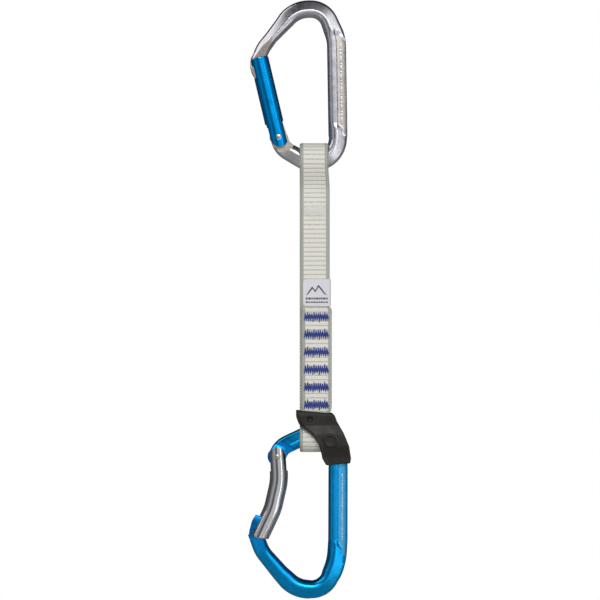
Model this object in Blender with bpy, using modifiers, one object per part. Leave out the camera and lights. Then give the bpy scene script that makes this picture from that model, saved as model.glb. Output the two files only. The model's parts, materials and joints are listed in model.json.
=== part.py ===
"""Climbing quickdraw: two spring-gate carabiners joined by a stitched webbing sling.

Sizes are in millimetres and are turned to metres where a mesh is made. The draw hangs from the
inside of its upper carabiner's basket, which is the origin. +Z is up, +X points from the gates to
the spines, and Y = 0 is the middle plane of both carabiners.
"""

import math
from dataclasses import dataclass

import bmesh
import bpy
from mathutils import Matrix, Vector

MM = 0.001
GAP = 0.35                      # room between pieces that touch in the real object
THROUGH = 9.0                   # half thickness of cutters that pass right through a carabiner
WIDE = 20.0                     # half width of cutters that pass right through the sling

# ---- carabiners -------------------------------------------------------------------------------
TONGUE = 2.0                    # half of the tang that carries the gate
MILL_FLOOR = 1.9                # half of what is left of the bar where it is milled for the gate
KEY_HEAD = 2.8                  # half of the nose key's wide head
KEY_NECK = 1.5                  # half of the nose key's neck
KEY_NECK_LENGTH = 4.0
GATE_DEPTH = 5.0                # half of the gate rod's thickness
RIVET_SHANK = 1.4
RIVET_HEAD = 1.55
BORE = 2.2                      # radius of the spring's blind bore in the gate
PLUNGER = 1.8
PLUNGER_CENTRE = 7.9            # plunger nose centre, from the pivot
PLUNGER_LENGTH = 2.6            # from its nose centre to its collar
STEM = 0.9
STEM_LENGTH = 5.0
HOLE_PLAY = 0.3                 # how much larger the rivet's hole is than the rivet
LUG_MILLS = ((0, 0, 6.2), (2.7, -1.4, 6.7))     # (dx, dz, radius) of the cuts round the pivot
CAM_START = 5.6                 # tang radius that the plunger rests on while the gate is closed
CAM_RISE = 2.0                  # mm the tang pushes the plunger back for each radian of opening
FORK_BOTTOM = 8.1               # bottom of the gate's fork slot, from the pivot
TANG_ROOT = ((-45, 5.3), (-70, 4.7), (-96, 4.9), (-140, 6.5), (170, 7.0))   # (degrees, radius)
SPRING_WIRE = 0.3
SPRING_RADIUS = 1.5
SPRING_PITCH = 1.9
SPRING_START = 11.1             # from the pivot
SPRING_END_ROOM = 0.6           # between the spring's centre line and the end of its bore
GATE_SIDES = 20

# Cross-section of the bar: (place across the bar, half depth), from its inner to its outer side.
# The first number is a share of the bar's half width.
BEAD_SECTION = [(-0.95, 1.8), (-0.78, 3.4), (-0.50, 4.6), (-0.14, 5.1), (0.08, 5.0),
                (0.55, 3.9), (0.88, 2.8), (1.0, 1.7)]
SPINE_SECTION = [(-0.95, 2.1), (-0.78, 3.7), (-0.50, 4.7), (-0.06, 4.7), (0.0, 3.5),
                 (0.76, 3.5), (0.86, 4.2), (1.0, 2.9)]

# ---- sling ------------------------------------------------------------------------------------
PLY = 1.75                      # thickness of one layer of webbing
SLING_LEFT = -6.0
SLING_RIGHT = 10.0
TWIST_Z = -125.3                # where the sling is split so that it can twist
LAP_TOP_Z = -159.6              # top of the stretch with a third layer
LAP_HALF = 2.7                  # half of the thickness of three sewn layers
LAP_RIGHT = 11.3
UPPER_EYE_Z = -77.9             # axis that the upper eye swings about
UPPER_EYE_RADIUS = 7.1
UPPER_EYE_RUN = 18.0            # length over which the eye's layers come together
LOWER_EYE_Z = -231.6
LOWER_EYE_RADIUS = 6.3
LOWER_EYE_RUN = 15.6
EYE_RIGHT = 8.4                 # the upper eye is pinched so that it clears the bar's corner
LOWER_EYE_RIGHT = 7.1
TACK_HEIGHT = 3.6
TACK_PITCH = 9.7
TACK_FIRST_Z = -165.0
TACK_COUNT = 6
TACK_LEFT = -3.9
TACK_RIGHT = 9.7
THREAD = 0.6                    # how far sewn thread stands up from the webbing
STITCH = 0.6                    # half width of the thread that passes through the webbing
STITCH_ROOM = 0.3
STITCH_ROWS = (-0.5, 6.3)
WHITE_TACK_LOW = -109.6
WHITE_TACK_HIGH = -102.6
LABEL_LOW = -159.1
LABEL_HIGH = -144.2
LABEL_LEFT = -4.4
LABEL_CLOTH = 0.5

COLLECTION = "climbing_quickdraw"


@dataclass(frozen=True)
class Carabiner:
    """One carabiner: its bar's route, its gate and its pivot."""

    name: str
    up: int                     # +1 if the gate runs up from its pivot, -1 if down
    route: tuple                # (x, z, fillet radius, half width, share of spine section)
    pivot: tuple
    gate_tilt: float            # degrees that the gate leans outward at its pivot
    gate_route: tuple           # (x, z, fillet radius, half width) from fork end to nose end
    gate_reach: float           # distance from the pivot to the gate's end
    key_outline: tuple          # outer edge of the nose key, from the bar to its tip
    key_angle: float            # where the key's inner face lies, in degrees about the pivot
    bore_end: float
    heel: float                 # radius of the tang on its outer side
    body_colour: tuple
    gate_colour: tuple


UPPER = Carabiner(
    name="upper",
    up=1,
    route=((-29.6, -24.3, 0, 4.1, 0), (-26.5, -16.8, 16.6, 3.9, 0), (-22.1, -11.0, 0, 3.7, 0),
           (-16.3, -4.3, 0, 4.4, 0), (-8.7, 4.85, 16.0, 4.85, 0), (7.3, 4.85, 11.0, 4.85, 0),
           (14.0, -11.6, 22.1, 5.25, 1), (14.75, -58.8, 0, 5.25, 1), (14.85, -65.6, 0, 5.2, 0),
           (15.3, -89.6, 13.5, 5.0, 0), (-16.0, -71.9, 9.9, 4.8, 0), (-17.8, -65.6, 0, 4.8, 0)),
    pivot=(-17.9, -65.7),
    gate_tilt=13.3,
    gate_route=((-16.7, -71.4, 0, 1.6), (-16.9, -70.9, 0, 3.0), (-17.2, -69.8, 0, 4.2),
                (-17.7, -67.8, 0, 4.75), (-19.5, -60.6, 0, 4.95), (-19.8, -59.9, 0, 5.2),
                (-28.5, -23.2, 0, 5.2), (-28.9, -21.4, 0, 4.7), (-29.3, -19.7, 0, 4.2)),
    gate_reach=44.8,
    key_outline=((-28.0, -17.5), (-31.9, -19.6), (-33.5, -23.6), (-33.6, -27.6), (-32.7, -30.9),
                 (-31.2, -33.4)),
    key_angle=10.4,
    bore_end=31.0,
    heel=5.0,
    body_colour=(0.74, 0.75, 0.76),
    gate_colour=(0.02, 0.26, 0.62),
)

LOWER = Carabiner(
    name="lower",
    up=-1,
    route=((-31.9, -281.0, 0, 4.2, 0), (-27.1, -294.4, 19.3, 4.3, 0), (-17.0, -306.3, 0, 4.75, 0),
           (-8.3, -315.2, 16.6, 5.2, 0), (7.2, -315.5, 11.0, 5.0, 0),
           (14.0, -300.8, 33.1, 5.4, 0.2), (14.8, -288.0, 0, 5.35, 1),
           (14.9, -249.0, 0, 5.3, 1), (14.9, -244.2, 0, 5.2, 0), (14.9, -222.1, 13.5, 4.9, 0),
           (-16.9, -237.1, 9.9, 4.9, 0), (-18.7, -242.4, 0, 4.8, 0)),
    pivot=(-18.5, -242.0),
    gate_tilt=-2.4,
    gate_route=((-18.3, -238.8, 0, 4.2), (-18.25, -239.5, 0, 4.6), (-17.5, -255.0, 33.0, 5.0),
                (-21.1, -271.0, 33.0, 5.0), (-28.0, -285.6, 0, 5.0), (-29.3, -288.4, 0, 4.7)),
    gate_reach=45.9,
    key_outline=((-29.5, -290.5), (-33.6, -288.9), (-34.4, -285.5), (-34.0, -282.6),
                 (-32.6, -277.5), (-30.5, -274.3)),
    key_angle=10.6,
    bore_end=22.0,
    heel=5.5,
    body_colour=(0.02, 0.27, 0.62),
    gate_colour=(0.72, 0.73, 0.74),
)

KEEPER_OUTLINE = ((-8.3, -216.4), (11.6, -218.0), (13.2, -219.7), (14.4, -223.0), (18.2, -229.6),
                  (21.0, -236.3), (22.0, -242.9), (21.5, -245.6), (8.3, -246.7), (6.1, -242.9),
                  (5.5, -239.6), (3.9, -234.6), (1.1, -230.7), (-2.8, -227.4), (-5.5, -225.8),
                  (-7.2, -223.0), (-8.3, -219.7))
KEEPER_SIDE = ((4.7, -216.0), (6.2, -219.5), (9.0, -225.0), (9.8, -230.0), (9.6, -236.0),
               (7.6, -242.0), (7.0, -247.5))


# ---- general helpers --------------------------------------------------------------------------
def clear_scene():
    """Remove everything that the open file holds."""
    for item in list(bpy.data.objects):
        bpy.data.objects.remove(item)
    for group in list(bpy.data.collections):
        bpy.data.collections.remove(group)


def new_collection(name):
    """Add a collection to the scene."""
    group = bpy.data.collections.new(name)
    bpy.context.scene.collection.children.link(group)
    return group


def dress(item, colour, roughness, metallic):
    """Give an object its own plain material."""
    finish = bpy.data.materials.new(item.name)
    finish.use_nodes = True
    shader = finish.node_tree.nodes["Principled BSDF"]
    shader.inputs["Base Color"].default_value = (*colour, 1.0)
    shader.inputs["Roughness"].default_value = roughness
    shader.inputs["Metallic"].default_value = metallic
    item.data.materials.clear()
    item.data.materials.append(finish)


def add_object(name, mesh):
    """Put a mesh in the parts collection."""
    item = bpy.data.objects.new(name, mesh)
    bpy.data.collections[COLLECTION].objects.link(item)
    return item


def move_origin(item, point):
    """Move an object's origin to a point without moving its surface."""
    offset = Vector(point) * MM
    item.data.transform(Matrix.Translation(item.location - offset))
    item.location = offset


def combine(item, tool, operation):
    """Cut, join or intersect an object with a tool, which becomes a hidden cutter."""
    for group in list(tool.users_collection):
        group.objects.unlink(tool)
    bpy.data.collections["cutters"].objects.link(tool)
    tool.hide_render = True
    tool.display_type = 'WIRE'
    modifier = item.modifiers.new(tool.name, 'BOOLEAN')
    modifier.operation = operation
    modifier.object = tool
    modifier.solver = 'EXACT'


def cut(item, tool):
    """Take the tool's shape out of an object."""
    combine(item, tool, 'DIFFERENCE')


PLANES = {
    "XZ": Matrix(((1, 0, 0), (0, 0, -1), (0, 1, 0))),
    "YZ": Matrix(((0, 0, 1), (1, 0, 0), (0, 1, 0))),
    "XY": Matrix.Identity(3),
}


def slab(name, outline, plane, low, high, holes=()):
    """Extrude a flat outline from low to high across its plane."""
    curve = bpy.data.curves.new(name, 'CURVE')
    curve.dimensions = '2D'
    curve.fill_mode = 'BOTH'
    curve.extrude = (high - low) / 2 * MM
    for loop in (outline, *holes):
        spline = curve.splines.new('POLY')
        spline.points.add(len(loop) - 1)
        for point, (across, along) in zip(spline.points, loop):
            point.co = (across * MM, along * MM, 0, 1)
        spline.use_cyclic_u = True
    middle = (low + high) / 2 * MM
    turn = PLANES[plane].to_4x4()
    shift = -middle if plane == "XZ" else middle
    return solid_from_curve(name, curve, turn @ Matrix.Translation((0, 0, shift)))


def solid_from_curve(name, curve, placement):
    """Turn a curve into a closed mesh object and remove the curve."""
    temporary = add_object(name + "_curve", curve)
    graph = bpy.context.evaluated_depsgraph_get()
    mesh = bpy.data.meshes.new_from_object(temporary.evaluated_get(graph))
    bpy.data.objects.remove(temporary)
    bpy.data.curves.remove(curve)
    shape = bmesh.new()
    shape.from_mesh(mesh)
    bmesh.ops.remove_doubles(shape, verts=shape.verts, dist=1e-7)
    bmesh.ops.transform(shape, matrix=placement, verts=shape.verts)
    bmesh.ops.recalc_face_normals(shape, faces=shape.faces)
    shape.to_mesh(mesh)
    shape.free()
    mesh.name = name
    return add_object(name, mesh)


def loft(name, rings):
    """Skin closed rings of points that all have the same number of points."""
    shape = bmesh.new()
    rows = [[shape.verts.new(Vector(point) * MM) for point in ring] for ring in rings]
    count = len(rows[0])
    for row, following in zip(rows, rows[1:]):
        for i in range(count):
            j = (i + 1) % count
            shape.faces.new((row[i], row[j], following[j], following[i]))
    shape.faces.new(rows[0])
    shape.faces.new(rows[-1])
    bmesh.ops.recalc_face_normals(shape, faces=shape.faces)
    mesh = bpy.data.meshes.new(name)
    shape.to_mesh(mesh)
    shape.free()
    return add_object(name, mesh)


def cylinder(name, centre, axis, radius, length, sides=24):
    """A cylinder about a centre point, along an axis."""
    shape = bmesh.new()
    bmesh.ops.create_cone(shape, cap_ends=True, segments=sides, radius1=radius * MM,
                          radius2=radius * MM, depth=length * MM)
    turn = Vector((0, 0, 1)).rotation_difference(Vector(axis)).to_matrix().to_4x4()
    place = Matrix.Translation(Vector(centre) * MM)
    bmesh.ops.transform(shape, matrix=place @ turn, verts=shape.verts)
    mesh = bpy.data.meshes.new(name)
    shape.to_mesh(mesh)
    shape.free()
    return add_object(name, mesh)


def turned(name, profile, steps, placement):
    """Turn a profile of (radius, height), given from top to bottom, about its own axis."""
    points = [(radius * MM, 0, height * MM) for radius, height in profile]
    mesh = bpy.data.meshes.new(name)
    mesh.from_pydata(points, [(i, i + 1) for i in range(len(points) - 1)], [])
    item = add_object(name, mesh)
    item.matrix_world = placement
    screw = item.modifiers.new("turn", 'SCREW')
    screw.steps = steps
    screw.render_steps = steps
    screw.use_merge_vertices = True
    screw.merge_threshold = 0.00001
    return item


def rounded(corners, step=9.0):
    """Follow corners (x, z, radius, *values), rounding each with an arc of its own radius."""
    points = []
    for i, (x, z, radius, *values) in enumerate(corners):
        if radius == 0:
            points.append((x, z, *values))
            continue
        corner = Vector((x, z))
        back = (Vector(corners[i - 1][:2]) - corner).normalized()
        ahead = (Vector(corners[i + 1][:2]) - corner).normalized()
        half = back.angle(ahead) / 2
        centre = corner + (back + ahead).normalized() * (radius / math.sin(half))
        start = corner + back * (radius / math.tan(half)) - centre
        sweep = start.angle_signed(corner + ahead * (radius / math.tan(half)) - centre)
        count = max(2, round(abs(math.degrees(sweep)) / step))
        for k in range(count + 1):
            turned_by = Matrix.Rotation(-sweep * k / count, 2)
            place = centre + turned_by @ start
            points.append((place.x, place.y, *values))
    return points


def frames(points, side):
    """Give each point of a route its place and its unit normal on the asked side."""
    result = []
    for i, point in enumerate(points):
        before = Vector(points[max(i - 1, 0)][:2])
        after = Vector(points[min(i + 1, len(points) - 1)][:2])
        along = (after - before).normalized()
        result.append((Vector(point[:2]), Vector((-along.y, along.x)) * side))
    return result


# ---- carabiner pieces -------------------------------------------------------------------------
def polar(clip, radius, angle):
    """A point about a carabiner's pivot. The angle leans outward from straight along the gate."""
    turn = math.radians(angle)
    x, z = clip.pivot
    return (x - radius * math.sin(turn), z + clip.up * radius * math.cos(turn))


def sector(clip, inner, outer, start, end, steps=6):
    """Outline of a ring sector about a carabiner's pivot."""
    angles = [start + (end - start) * i / steps for i in range(steps + 1)]
    near = [polar(clip, inner, angle) for angle in angles]
    far = [polar(clip, outer, angle) for angle in reversed(angles)]
    return near + far


def bar_section(half_width, spine, grow):
    """Closed cross-section of the bar as (across, depth), from the inner side round."""
    side = []
    for (bead_u, bead_v), (web_u, web_v) in zip(BEAD_SECTION, SPINE_SECTION):
        across = (bead_u + (web_u - bead_u) * spine) * (half_width + grow)
        depth = bead_v + (web_v - bead_v) * spine + grow
        side.append((across, depth))
    inner = [(-(half_width + grow), 0.0)]
    return inner + side + [(across, -depth) for across, depth in reversed(side)]


def bar(name, clip, route, grow=0.0):
    """Sweep the bar's changing section along a route."""
    points = rounded(route)
    rings = []
    for point, (place, normal) in zip(points, frames(points, clip.up)):
        half_width, spine = point[2], point[3]
        ring = []
        for across, depth in bar_section(half_width, spine, grow):
            spot = place + normal * across
            ring.append((spot.x, depth, spot.y))
        rings.append(ring)
    return loft(name, rings)


def tang_outline(clip):
    """Side view of the tang: a cam that pushes the plunger back, and a heel round the pivot."""
    points = [polar(clip, clip.heel, angle) for angle in (110, 85, 60)]
    for opening in range(-16, 41, 8):
        rise = CAM_RISE * math.radians(max(opening, 0))
        points.append(polar(clip, CAM_START + rise, clip.gate_tilt - opening))
    return points + [polar(clip, radius, angle) for angle, radius in TANG_ROOT]


def build_body(clip):
    """The forged body: bar, tang for the gate and keylock nose."""
    name = clip.name + "_body"
    body = bar(name, clip, clip.route)
    reach = clip.gate_reach + GAP
    room = sector(clip, reach / 2, reach, clip.key_angle - 16, clip.key_angle + 18)
    cut(body, slab(name + "_gate_room", room, "XZ", -THROUGH, THROUGH))
    key = nose_key(clip)
    combine(body, key, 'UNION')
    x, z = clip.pivot
    for side in (-1, 1):
        low, high = sorted((side * MILL_FLOOR, side * THROUGH))
        mill = f"{name}_mill_{'front' if side < 0 else 'back'}"
        for part, (dx, dz, radius) in enumerate(LUG_MILLS):
            centre = (x + dx, (low + high) / 2, z + clip.up * dz)
            cut(body, cylinder(f"{mill}_{part}", centre, (0, 1, 0), radius, high - low, 40))
    tang = slab(name + "_tang", tang_outline(clip), "XZ", -TONGUE, TONGUE)
    combine(body, tang, 'UNION')
    hole_radius = RIVET_SHANK + HOLE_PLAY
    cut(body, cylinder(name + "_hole", (x, 0, z), (0, 1, 0), hole_radius, 2 * THROUGH))
    dress(body, clip.body_colour, 0.2 if clip.up > 0 else 0.28, 1.0)
    return body


def nose_key(clip):
    """The nose's key: a wide head on a narrow neck, both turned about the pivot."""
    tip = Vector(clip.key_outline[-1]) - Vector(clip.pivot)
    head_low = tip.length
    neck_low = clip.gate_reach - KEY_NECK_LENGTH
    top = clip.gate_reach + 4
    tip_angle = math.degrees(math.atan2(-tip.x, clip.up * tip.y))
    outline = list(clip.key_outline)
    for share in (0.25, 0.5, 0.75, 1.0):
        outline.append(polar(clip, head_low, tip_angle + (clip.key_angle - tip_angle) * share))
    outline.append(polar(clip, top, clip.key_angle))
    name = clip.name + "_key"
    key = slab(name, outline, "XZ", -KEY_HEAD, KEY_HEAD)
    ring = sector(clip, neck_low, clip.gate_reach + 1.5, clip.key_angle - 8, clip.key_angle + 24)
    cut(key, slab(name + "_neck_front", ring, "XZ", -THROUGH, -KEY_NECK))
    cut(key, slab(name + "_neck_back", ring, "XZ", KEY_NECK, THROUGH))
    return key


def gate_direction(clip):
    """Unit vector along the gate from its pivot towards its nose end."""
    turn = math.radians(clip.gate_tilt)
    return Vector((-math.sin(turn), 0, clip.up * math.cos(turn)))


def build_gate(clip):
    """The gate rod: forked at its pivot, bored for its spring and slotted for the nose key."""
    name = clip.name + "_gate"
    points = rounded(clip.gate_route)
    rings = []
    for point, (place, normal) in zip(points, frames(points, 1)):
        ring = []
        for i in range(GATE_SIDES):
            turn = 2 * math.pi * i / GATE_SIDES
            spot = place + normal * (point[2] * math.cos(turn))
            ring.append((spot.x, GATE_DEPTH * math.sin(turn), spot.y))
        rings.append(ring)
    gate = loft(name, rings)
    beyond = sector(clip, clip.gate_reach, clip.gate_reach + 6, clip.key_angle - 16,
                    clip.key_angle + 18)
    cut(gate, slab(name + "_end", beyond, "XZ", -THROUGH, THROUGH))
    along = gate_direction(clip)
    pivot = Vector((clip.pivot[0], 0, clip.pivot[1]))
    across = Vector((along.z, 0, -along.x))
    fork = []
    for reach, width in ((-THROUGH, -THROUGH), (-THROUGH, THROUGH), (FORK_BOTTOM, THROUGH),
                         (FORK_BOTTOM, -THROUGH)):
        spot = pivot + along * reach + across * width
        fork.append((spot.x, spot.z))
    cut(gate, slab(name + "_fork", fork, "XZ", -TONGUE - GAP, TONGUE + GAP))
    bore_start = FORK_BOTTOM - 2
    bore_middle = pivot + along * ((bore_start + clip.bore_end) / 2)
    cut(gate, cylinder(name + "_bore", bore_middle, along, BORE, clip.bore_end - bore_start))
    cut(gate, cylinder(name + "_hole", pivot, (0, 1, 0), RIVET_HEAD + GAP, 2 * THROUGH))
    head_low = (Vector(clip.key_outline[-1]) - Vector(clip.pivot)).length - GAP
    neck_low = clip.gate_reach - KEY_NECK_LENGTH
    floor = clip.key_angle - 0.5
    head = sector(clip, head_low, neck_low + GAP, floor, clip.key_angle + 26)
    neck = sector(clip, neck_low, clip.gate_reach + 3, floor, clip.key_angle + 26)
    cut(gate, slab(name + "_key_head", head, "XZ", -KEY_HEAD - GAP, KEY_HEAD + GAP))
    cut(gate, slab(name + "_key_neck", neck, "XZ", -KEY_NECK - GAP, KEY_NECK + GAP))
    move_origin(gate, pivot)
    dress(gate, clip.gate_colour, 0.25, 1.0)
    return gate


def build_rivet(clip):
    """The rivet that the gate turns on, with a low domed head at each end."""
    head = GATE_DEPTH + 0.1
    half = [(0.0, head + 0.25), (0.9, head + 0.12), (RIVET_HEAD, head - 0.3),
            (RIVET_HEAD, head - 0.9), (RIVET_SHANK, head - 1.1)]
    profile = half + [(radius, -height) for radius, height in reversed(half)]
    place = Matrix.Translation(Vector((clip.pivot[0], 0, clip.pivot[1])) * MM)
    turn = Matrix.Rotation(math.radians(-90), 4, 'X')
    rivet = turned(clip.name + "_gate_rivet", profile, 20, place @ turn)
    dress(rivet, (0.62, 0.62, 0.6), 0.3, 1.0)
    return rivet


def gate_placement(clip):
    """Place a piece made along +Z so that it lies along the gate from its pivot."""
    turn = Vector((0, 0, 1)).rotation_difference(gate_direction(clip)).to_matrix().to_4x4()
    return Matrix.Translation(Vector((clip.pivot[0], 0, clip.pivot[1])) * MM) @ turn


def build_plunger(clip):
    """The pin between the gate's spring and the tang: a round nose and a stem for the spring."""
    turns = [math.radians(turn) for turn in range(0, 90, 18)]
    nose = [(PLUNGER * math.cos(turn), PLUNGER_CENTRE - PLUNGER * math.sin(turn)) for turn in turns]
    collar = PLUNGER_CENTRE + PLUNGER_LENGTH
    end = collar + STEM_LENGTH
    profile = [(0.0, end), (STEM, end), (STEM, collar), (PLUNGER, collar)] + nose
    profile.append((0.0, PLUNGER_CENTRE - PLUNGER))
    plunger = turned(clip.name + "_gate_plunger", profile, 16, gate_placement(clip))
    dress(plunger, (0.5, 0.5, 0.5), 0.35, 1.0)
    return plunger


def build_spring(clip):
    """The compression spring in the gate's bore."""
    end = clip.bore_end - SPRING_END_ROOM
    turns = (end - SPRING_START) / SPRING_PITCH
    count = round(turns * 10)
    curve = bpy.data.curves.new(clip.name + "_spring", 'CURVE')
    curve.dimensions = '3D'
    curve.bevel_depth = SPRING_WIRE * MM
    curve.bevel_resolution = 1
    curve.use_fill_caps = True
    spline = curve.splines.new('POLY')
    spline.points.add(count)
    for i, point in enumerate(spline.points):
        angle = 2 * math.pi * turns * i / count
        height = SPRING_START + (end - SPRING_START) * i / count
        place = Vector((SPRING_RADIUS * math.cos(angle), SPRING_RADIUS * math.sin(angle), height))
        point.co = (*(place * MM), 1)
    spring = solid_from_curve(clip.name + "_gate_spring", curve, gate_placement(clip))
    dress(spring, (0.55, 0.55, 0.55), 0.3, 1.0)
    return spring


def build_carabiner(clip):
    """Every piece of one carabiner."""
    build_body(clip)
    build_gate(clip)
    build_rivet(clip)
    build_plunger(clip)
    build_spring(clip)


# ---- sling ------------------------------------------------------------------------------------
def eye_side(radius, run, floor, steps=8):
    """Half width of an eye at heights from its axis (0) to where its layers meet (run)."""
    points = []
    for i in range(steps + 1):
        height = run * i / steps
        width = radius * (1 + math.cos(math.pi * i / steps)) / 2
        points.append((max(width, floor), height))
    return points


def arc(radius, start, end, steps=10):
    """Points of an arc about the origin, angles in degrees."""
    turns = [math.radians(start + (end - start) * i / steps) for i in range(steps + 1)]
    return [(radius * math.cos(turn), radius * math.sin(turn)) for turn in turns]


def eye_outlines(axis_z, away, radius, run, half):
    """Outer half outline and closed inner outline of an eye in the YZ plane.

    away is +1 where the sling leaves the eye upwards and -1 where it leaves downwards.
    """
    inner_side = eye_side(radius, run * 0.94, 0.12)[1:]
    outer_side = [(max(width + PLY, half), height) for width, height in eye_side(radius, run, 0.0)]
    outer_arc = arc(radius + PLY, -90, 0)
    hole = arc(radius, 0, -180, 20) + [(-y, z) for y, z in inner_side] + inner_side[::-1]
    hole = [(y, axis_z + away * z) for y, z in hole]
    outer = [(y, axis_z + away * z) for y, z in outer_arc + outer_side[1:]]
    return outer, hole


def mirrored(half_outline):
    """Close an outline given on its +Y side with the same points on the other side."""
    return half_outline + [(-y, z) for y, z in reversed(half_outline)]


def thread_slots(item, z_low, z_high):
    """Cut the slots that a row of stitching passes through."""
    low, high = z_low - STITCH_ROOM, z_high + STITCH_ROOM
    for i, x in enumerate(STITCH_ROWS):
        left, right = x - STITCH - STITCH_ROOM, x + STITCH + STITCH_ROOM
        box = [(left, low), (right, low), (right, high), (left, high)]
        cut(item, slab(f"{item.name}_slot_{i}_{round(-z_low)}", box, "XZ", -WIDE, WIDE))


def build_tack(name, z_low, z_high, half, colour):
    """A bar tack: thread on both faces of the webbing, joined by stitches through it."""
    near = half + STITCH_ROOM
    far = near + THREAD
    edges = [TACK_LEFT, STITCH_ROWS[0] - STITCH, STITCH_ROWS[0] + STITCH,
             STITCH_ROWS[1] - STITCH, STITCH_ROWS[1] + STITCH, TACK_RIGHT]
    outline = [(edges[0], -far), (edges[5], -far), (edges[5], -near), (edges[4], -near),
               (edges[4], near), (edges[5], near), (edges[5], far), (edges[0], far),
               (edges[0], near), (edges[1], near), (edges[1], -near), (edges[0], -near)]
    window = [(edges[2], -near), (edges[3], -near), (edges[3], near), (edges[2], near)]
    tack = slab(name, outline, "XY", z_low, z_high, holes=(window,))
    dress(tack, colour, 0.7, 0.0)


def build_sling_upper():
    """The upper half of the sling with its eye, and the white bar tack below the eye."""
    outer, hole = eye_outlines(UPPER_EYE_Z, -1, UPPER_EYE_RADIUS, UPPER_EYE_RUN, PLY)
    outline = mirrored(outer[1:] + [(PLY, TWIST_Z + 0.15)])
    top = [(0.0, UPPER_EYE_Z + UPPER_EYE_RADIUS + PLY)]
    sling = slab("sling_upper", top + outline, "YZ", SLING_LEFT, SLING_RIGHT, holes=(hole,))
    below_bar = UPPER_EYE_Z - UPPER_EYE_RADIUS - 3
    above = UPPER_EYE_Z + WIDE
    beside = SLING_RIGHT + 2
    pinch = [(EYE_RIGHT, above), (EYE_RIGHT, below_bar), (beside, below_bar - 4), (beside, above)]
    cut(sling, slab("sling_upper_pinch", pinch, "XZ", -WIDE, WIDE))
    thread_slots(sling, WHITE_TACK_LOW, WHITE_TACK_HIGH)
    dress(sling, (0.85, 0.85, 0.82), 0.85, 0.0)
    build_tack("bar_tack_white", WHITE_TACK_LOW, WHITE_TACK_HIGH, PLY, (0.88, 0.88, 0.86))


def build_sling_lower():
    """The lower half of the sling: three layers with six bar tacks, then the lower eye."""
    outer, hole = eye_outlines(LOWER_EYE_Z, 1, LOWER_EYE_RADIUS, LOWER_EYE_RUN, LAP_HALF)
    side = outer[1:] + [(LAP_HALF, LAP_TOP_Z), (PLY, LAP_TOP_Z), (PLY, TWIST_Z - 0.15)]
    bottom = [(0.0, LOWER_EYE_Z - LOWER_EYE_RADIUS - PLY)]
    sling = slab("sling_lower", bottom + mirrored(side), "YZ", SLING_LEFT, LAP_RIGHT, holes=(hole,))
    step_low, step_high, step_right = LAP_TOP_Z - 0.4, TWIST_Z + 4, SLING_RIGHT + 4
    single = [(SLING_RIGHT, step_low), (step_right, step_low), (step_right, step_high),
              (SLING_RIGHT, step_high)]
    cut(sling, slab("sling_lower_step", single, "XZ", -WIDE, WIDE))
    pinch = [(LAP_RIGHT + 2, -213.0), (LAP_RIGHT + 0.1, -213.0), (SLING_RIGHT, -215.5),
             (SLING_RIGHT, -219.0), (LOWER_EYE_RIGHT, -224.0), (LOWER_EYE_RIGHT, -250.0),
             (LAP_RIGHT + 2, -250.0)]
    cut(sling, slab("sling_lower_pinch", pinch, "XZ", -WIDE, WIDE))
    dress(sling, (0.85, 0.85, 0.82), 0.85, 0.0)
    for i in range(TACK_COUNT):
        middle = TACK_FIRST_Z - TACK_PITCH * i
        low, high = middle - TACK_HEIGHT / 2, middle + TACK_HEIGHT / 2
        thread_slots(sling, low, high)
        build_tack(f"bar_tack_blue_{i + 1}", low, high, LAP_HALF, (0.03, 0.06, 0.35))


def build_label():
    """The woven label folded round the sling's edge."""
    near = PLY + STITCH_ROOM
    far = near + LABEL_CLOTH
    left, right = LABEL_LEFT, SLING_RIGHT + STITCH_ROOM
    fold = right + LABEL_CLOTH
    outline = [(left, -far), (fold, -far), (fold, far), (left, far),
               (left, near), (right, near), (right, -near), (left, -near)]
    label = slab("label", outline, "XY", LABEL_LOW, LABEL_HIGH)
    dress(label, (0.86, 0.86, 0.9), 0.6, 0.0)


# ---- keeper -----------------------------------------------------------------------------------
def build_keeper():
    """The rubber keeper: a sleeve round the sling and a tube round the bar's corner."""
    keeper = slab("keeper", KEEPER_OUTLINE, "XZ", -WIDE, WIDE)
    side = slab("keeper_side", mirrored(list(KEEPER_SIDE)), "YZ", -WIDE, 2 * WIDE)
    combine(keeper, side, 'INTERSECT')
    outer, _ = eye_outlines(LOWER_EYE_Z, 1, LOWER_EYE_RADIUS, LOWER_EYE_RUN, LAP_HALF)
    grown = [(y + GAP, z) for y, z in outer[1:]] + [(LAP_HALF + GAP, -200.0)]
    bottom = [(0.0, LOWER_EYE_Z - LOWER_EYE_RADIUS - PLY - GAP)]
    passage = slab("keeper_passage", bottom + mirrored(grown), "YZ", SLING_LEFT - GAP,
                   SLING_RIGHT + GAP)
    wall, low, high = LOWER_EYE_RIGHT + GAP, -260.0, -226.0
    stop = [(wall, high), (wall, low), (2 * WIDE, low), (2 * WIDE, high)]
    cut(passage, slab("keeper_passage_stop", stop, "XZ", -WIDE, WIDE))
    cut(keeper, passage)
    tube = bar("keeper_tube", LOWER, LOWER.route, grow=GAP)
    cut(keeper, tube)
    dress(keeper, (0.02, 0.019, 0.017), 0.6, 0.0)


def main():
    """Build the whole quickdraw."""
    clear_scene()
    new_collection(COLLECTION)
    new_collection("cutters")
    build_carabiner(UPPER)
    build_sling_upper()
    build_sling_lower()
    build_label()
    build_keeper()
    build_carabiner(LOWER)


main()
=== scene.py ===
"""Looks of a climbing quickdraw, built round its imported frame.

The draw has a silver carabiner with a straight gate at its top, a sewn nylon sling, and a blue
carabiner with a bent gate at its bottom, held in line by a rubber keeper. Sizes are millimetres
in the classes below and become metres where a mesh is made.
"""

from __future__ import annotations

import json
import logging
import math
from dataclasses import dataclass
from enum import Enum

import bpy
from mathutils import Matrix, Vector

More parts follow.
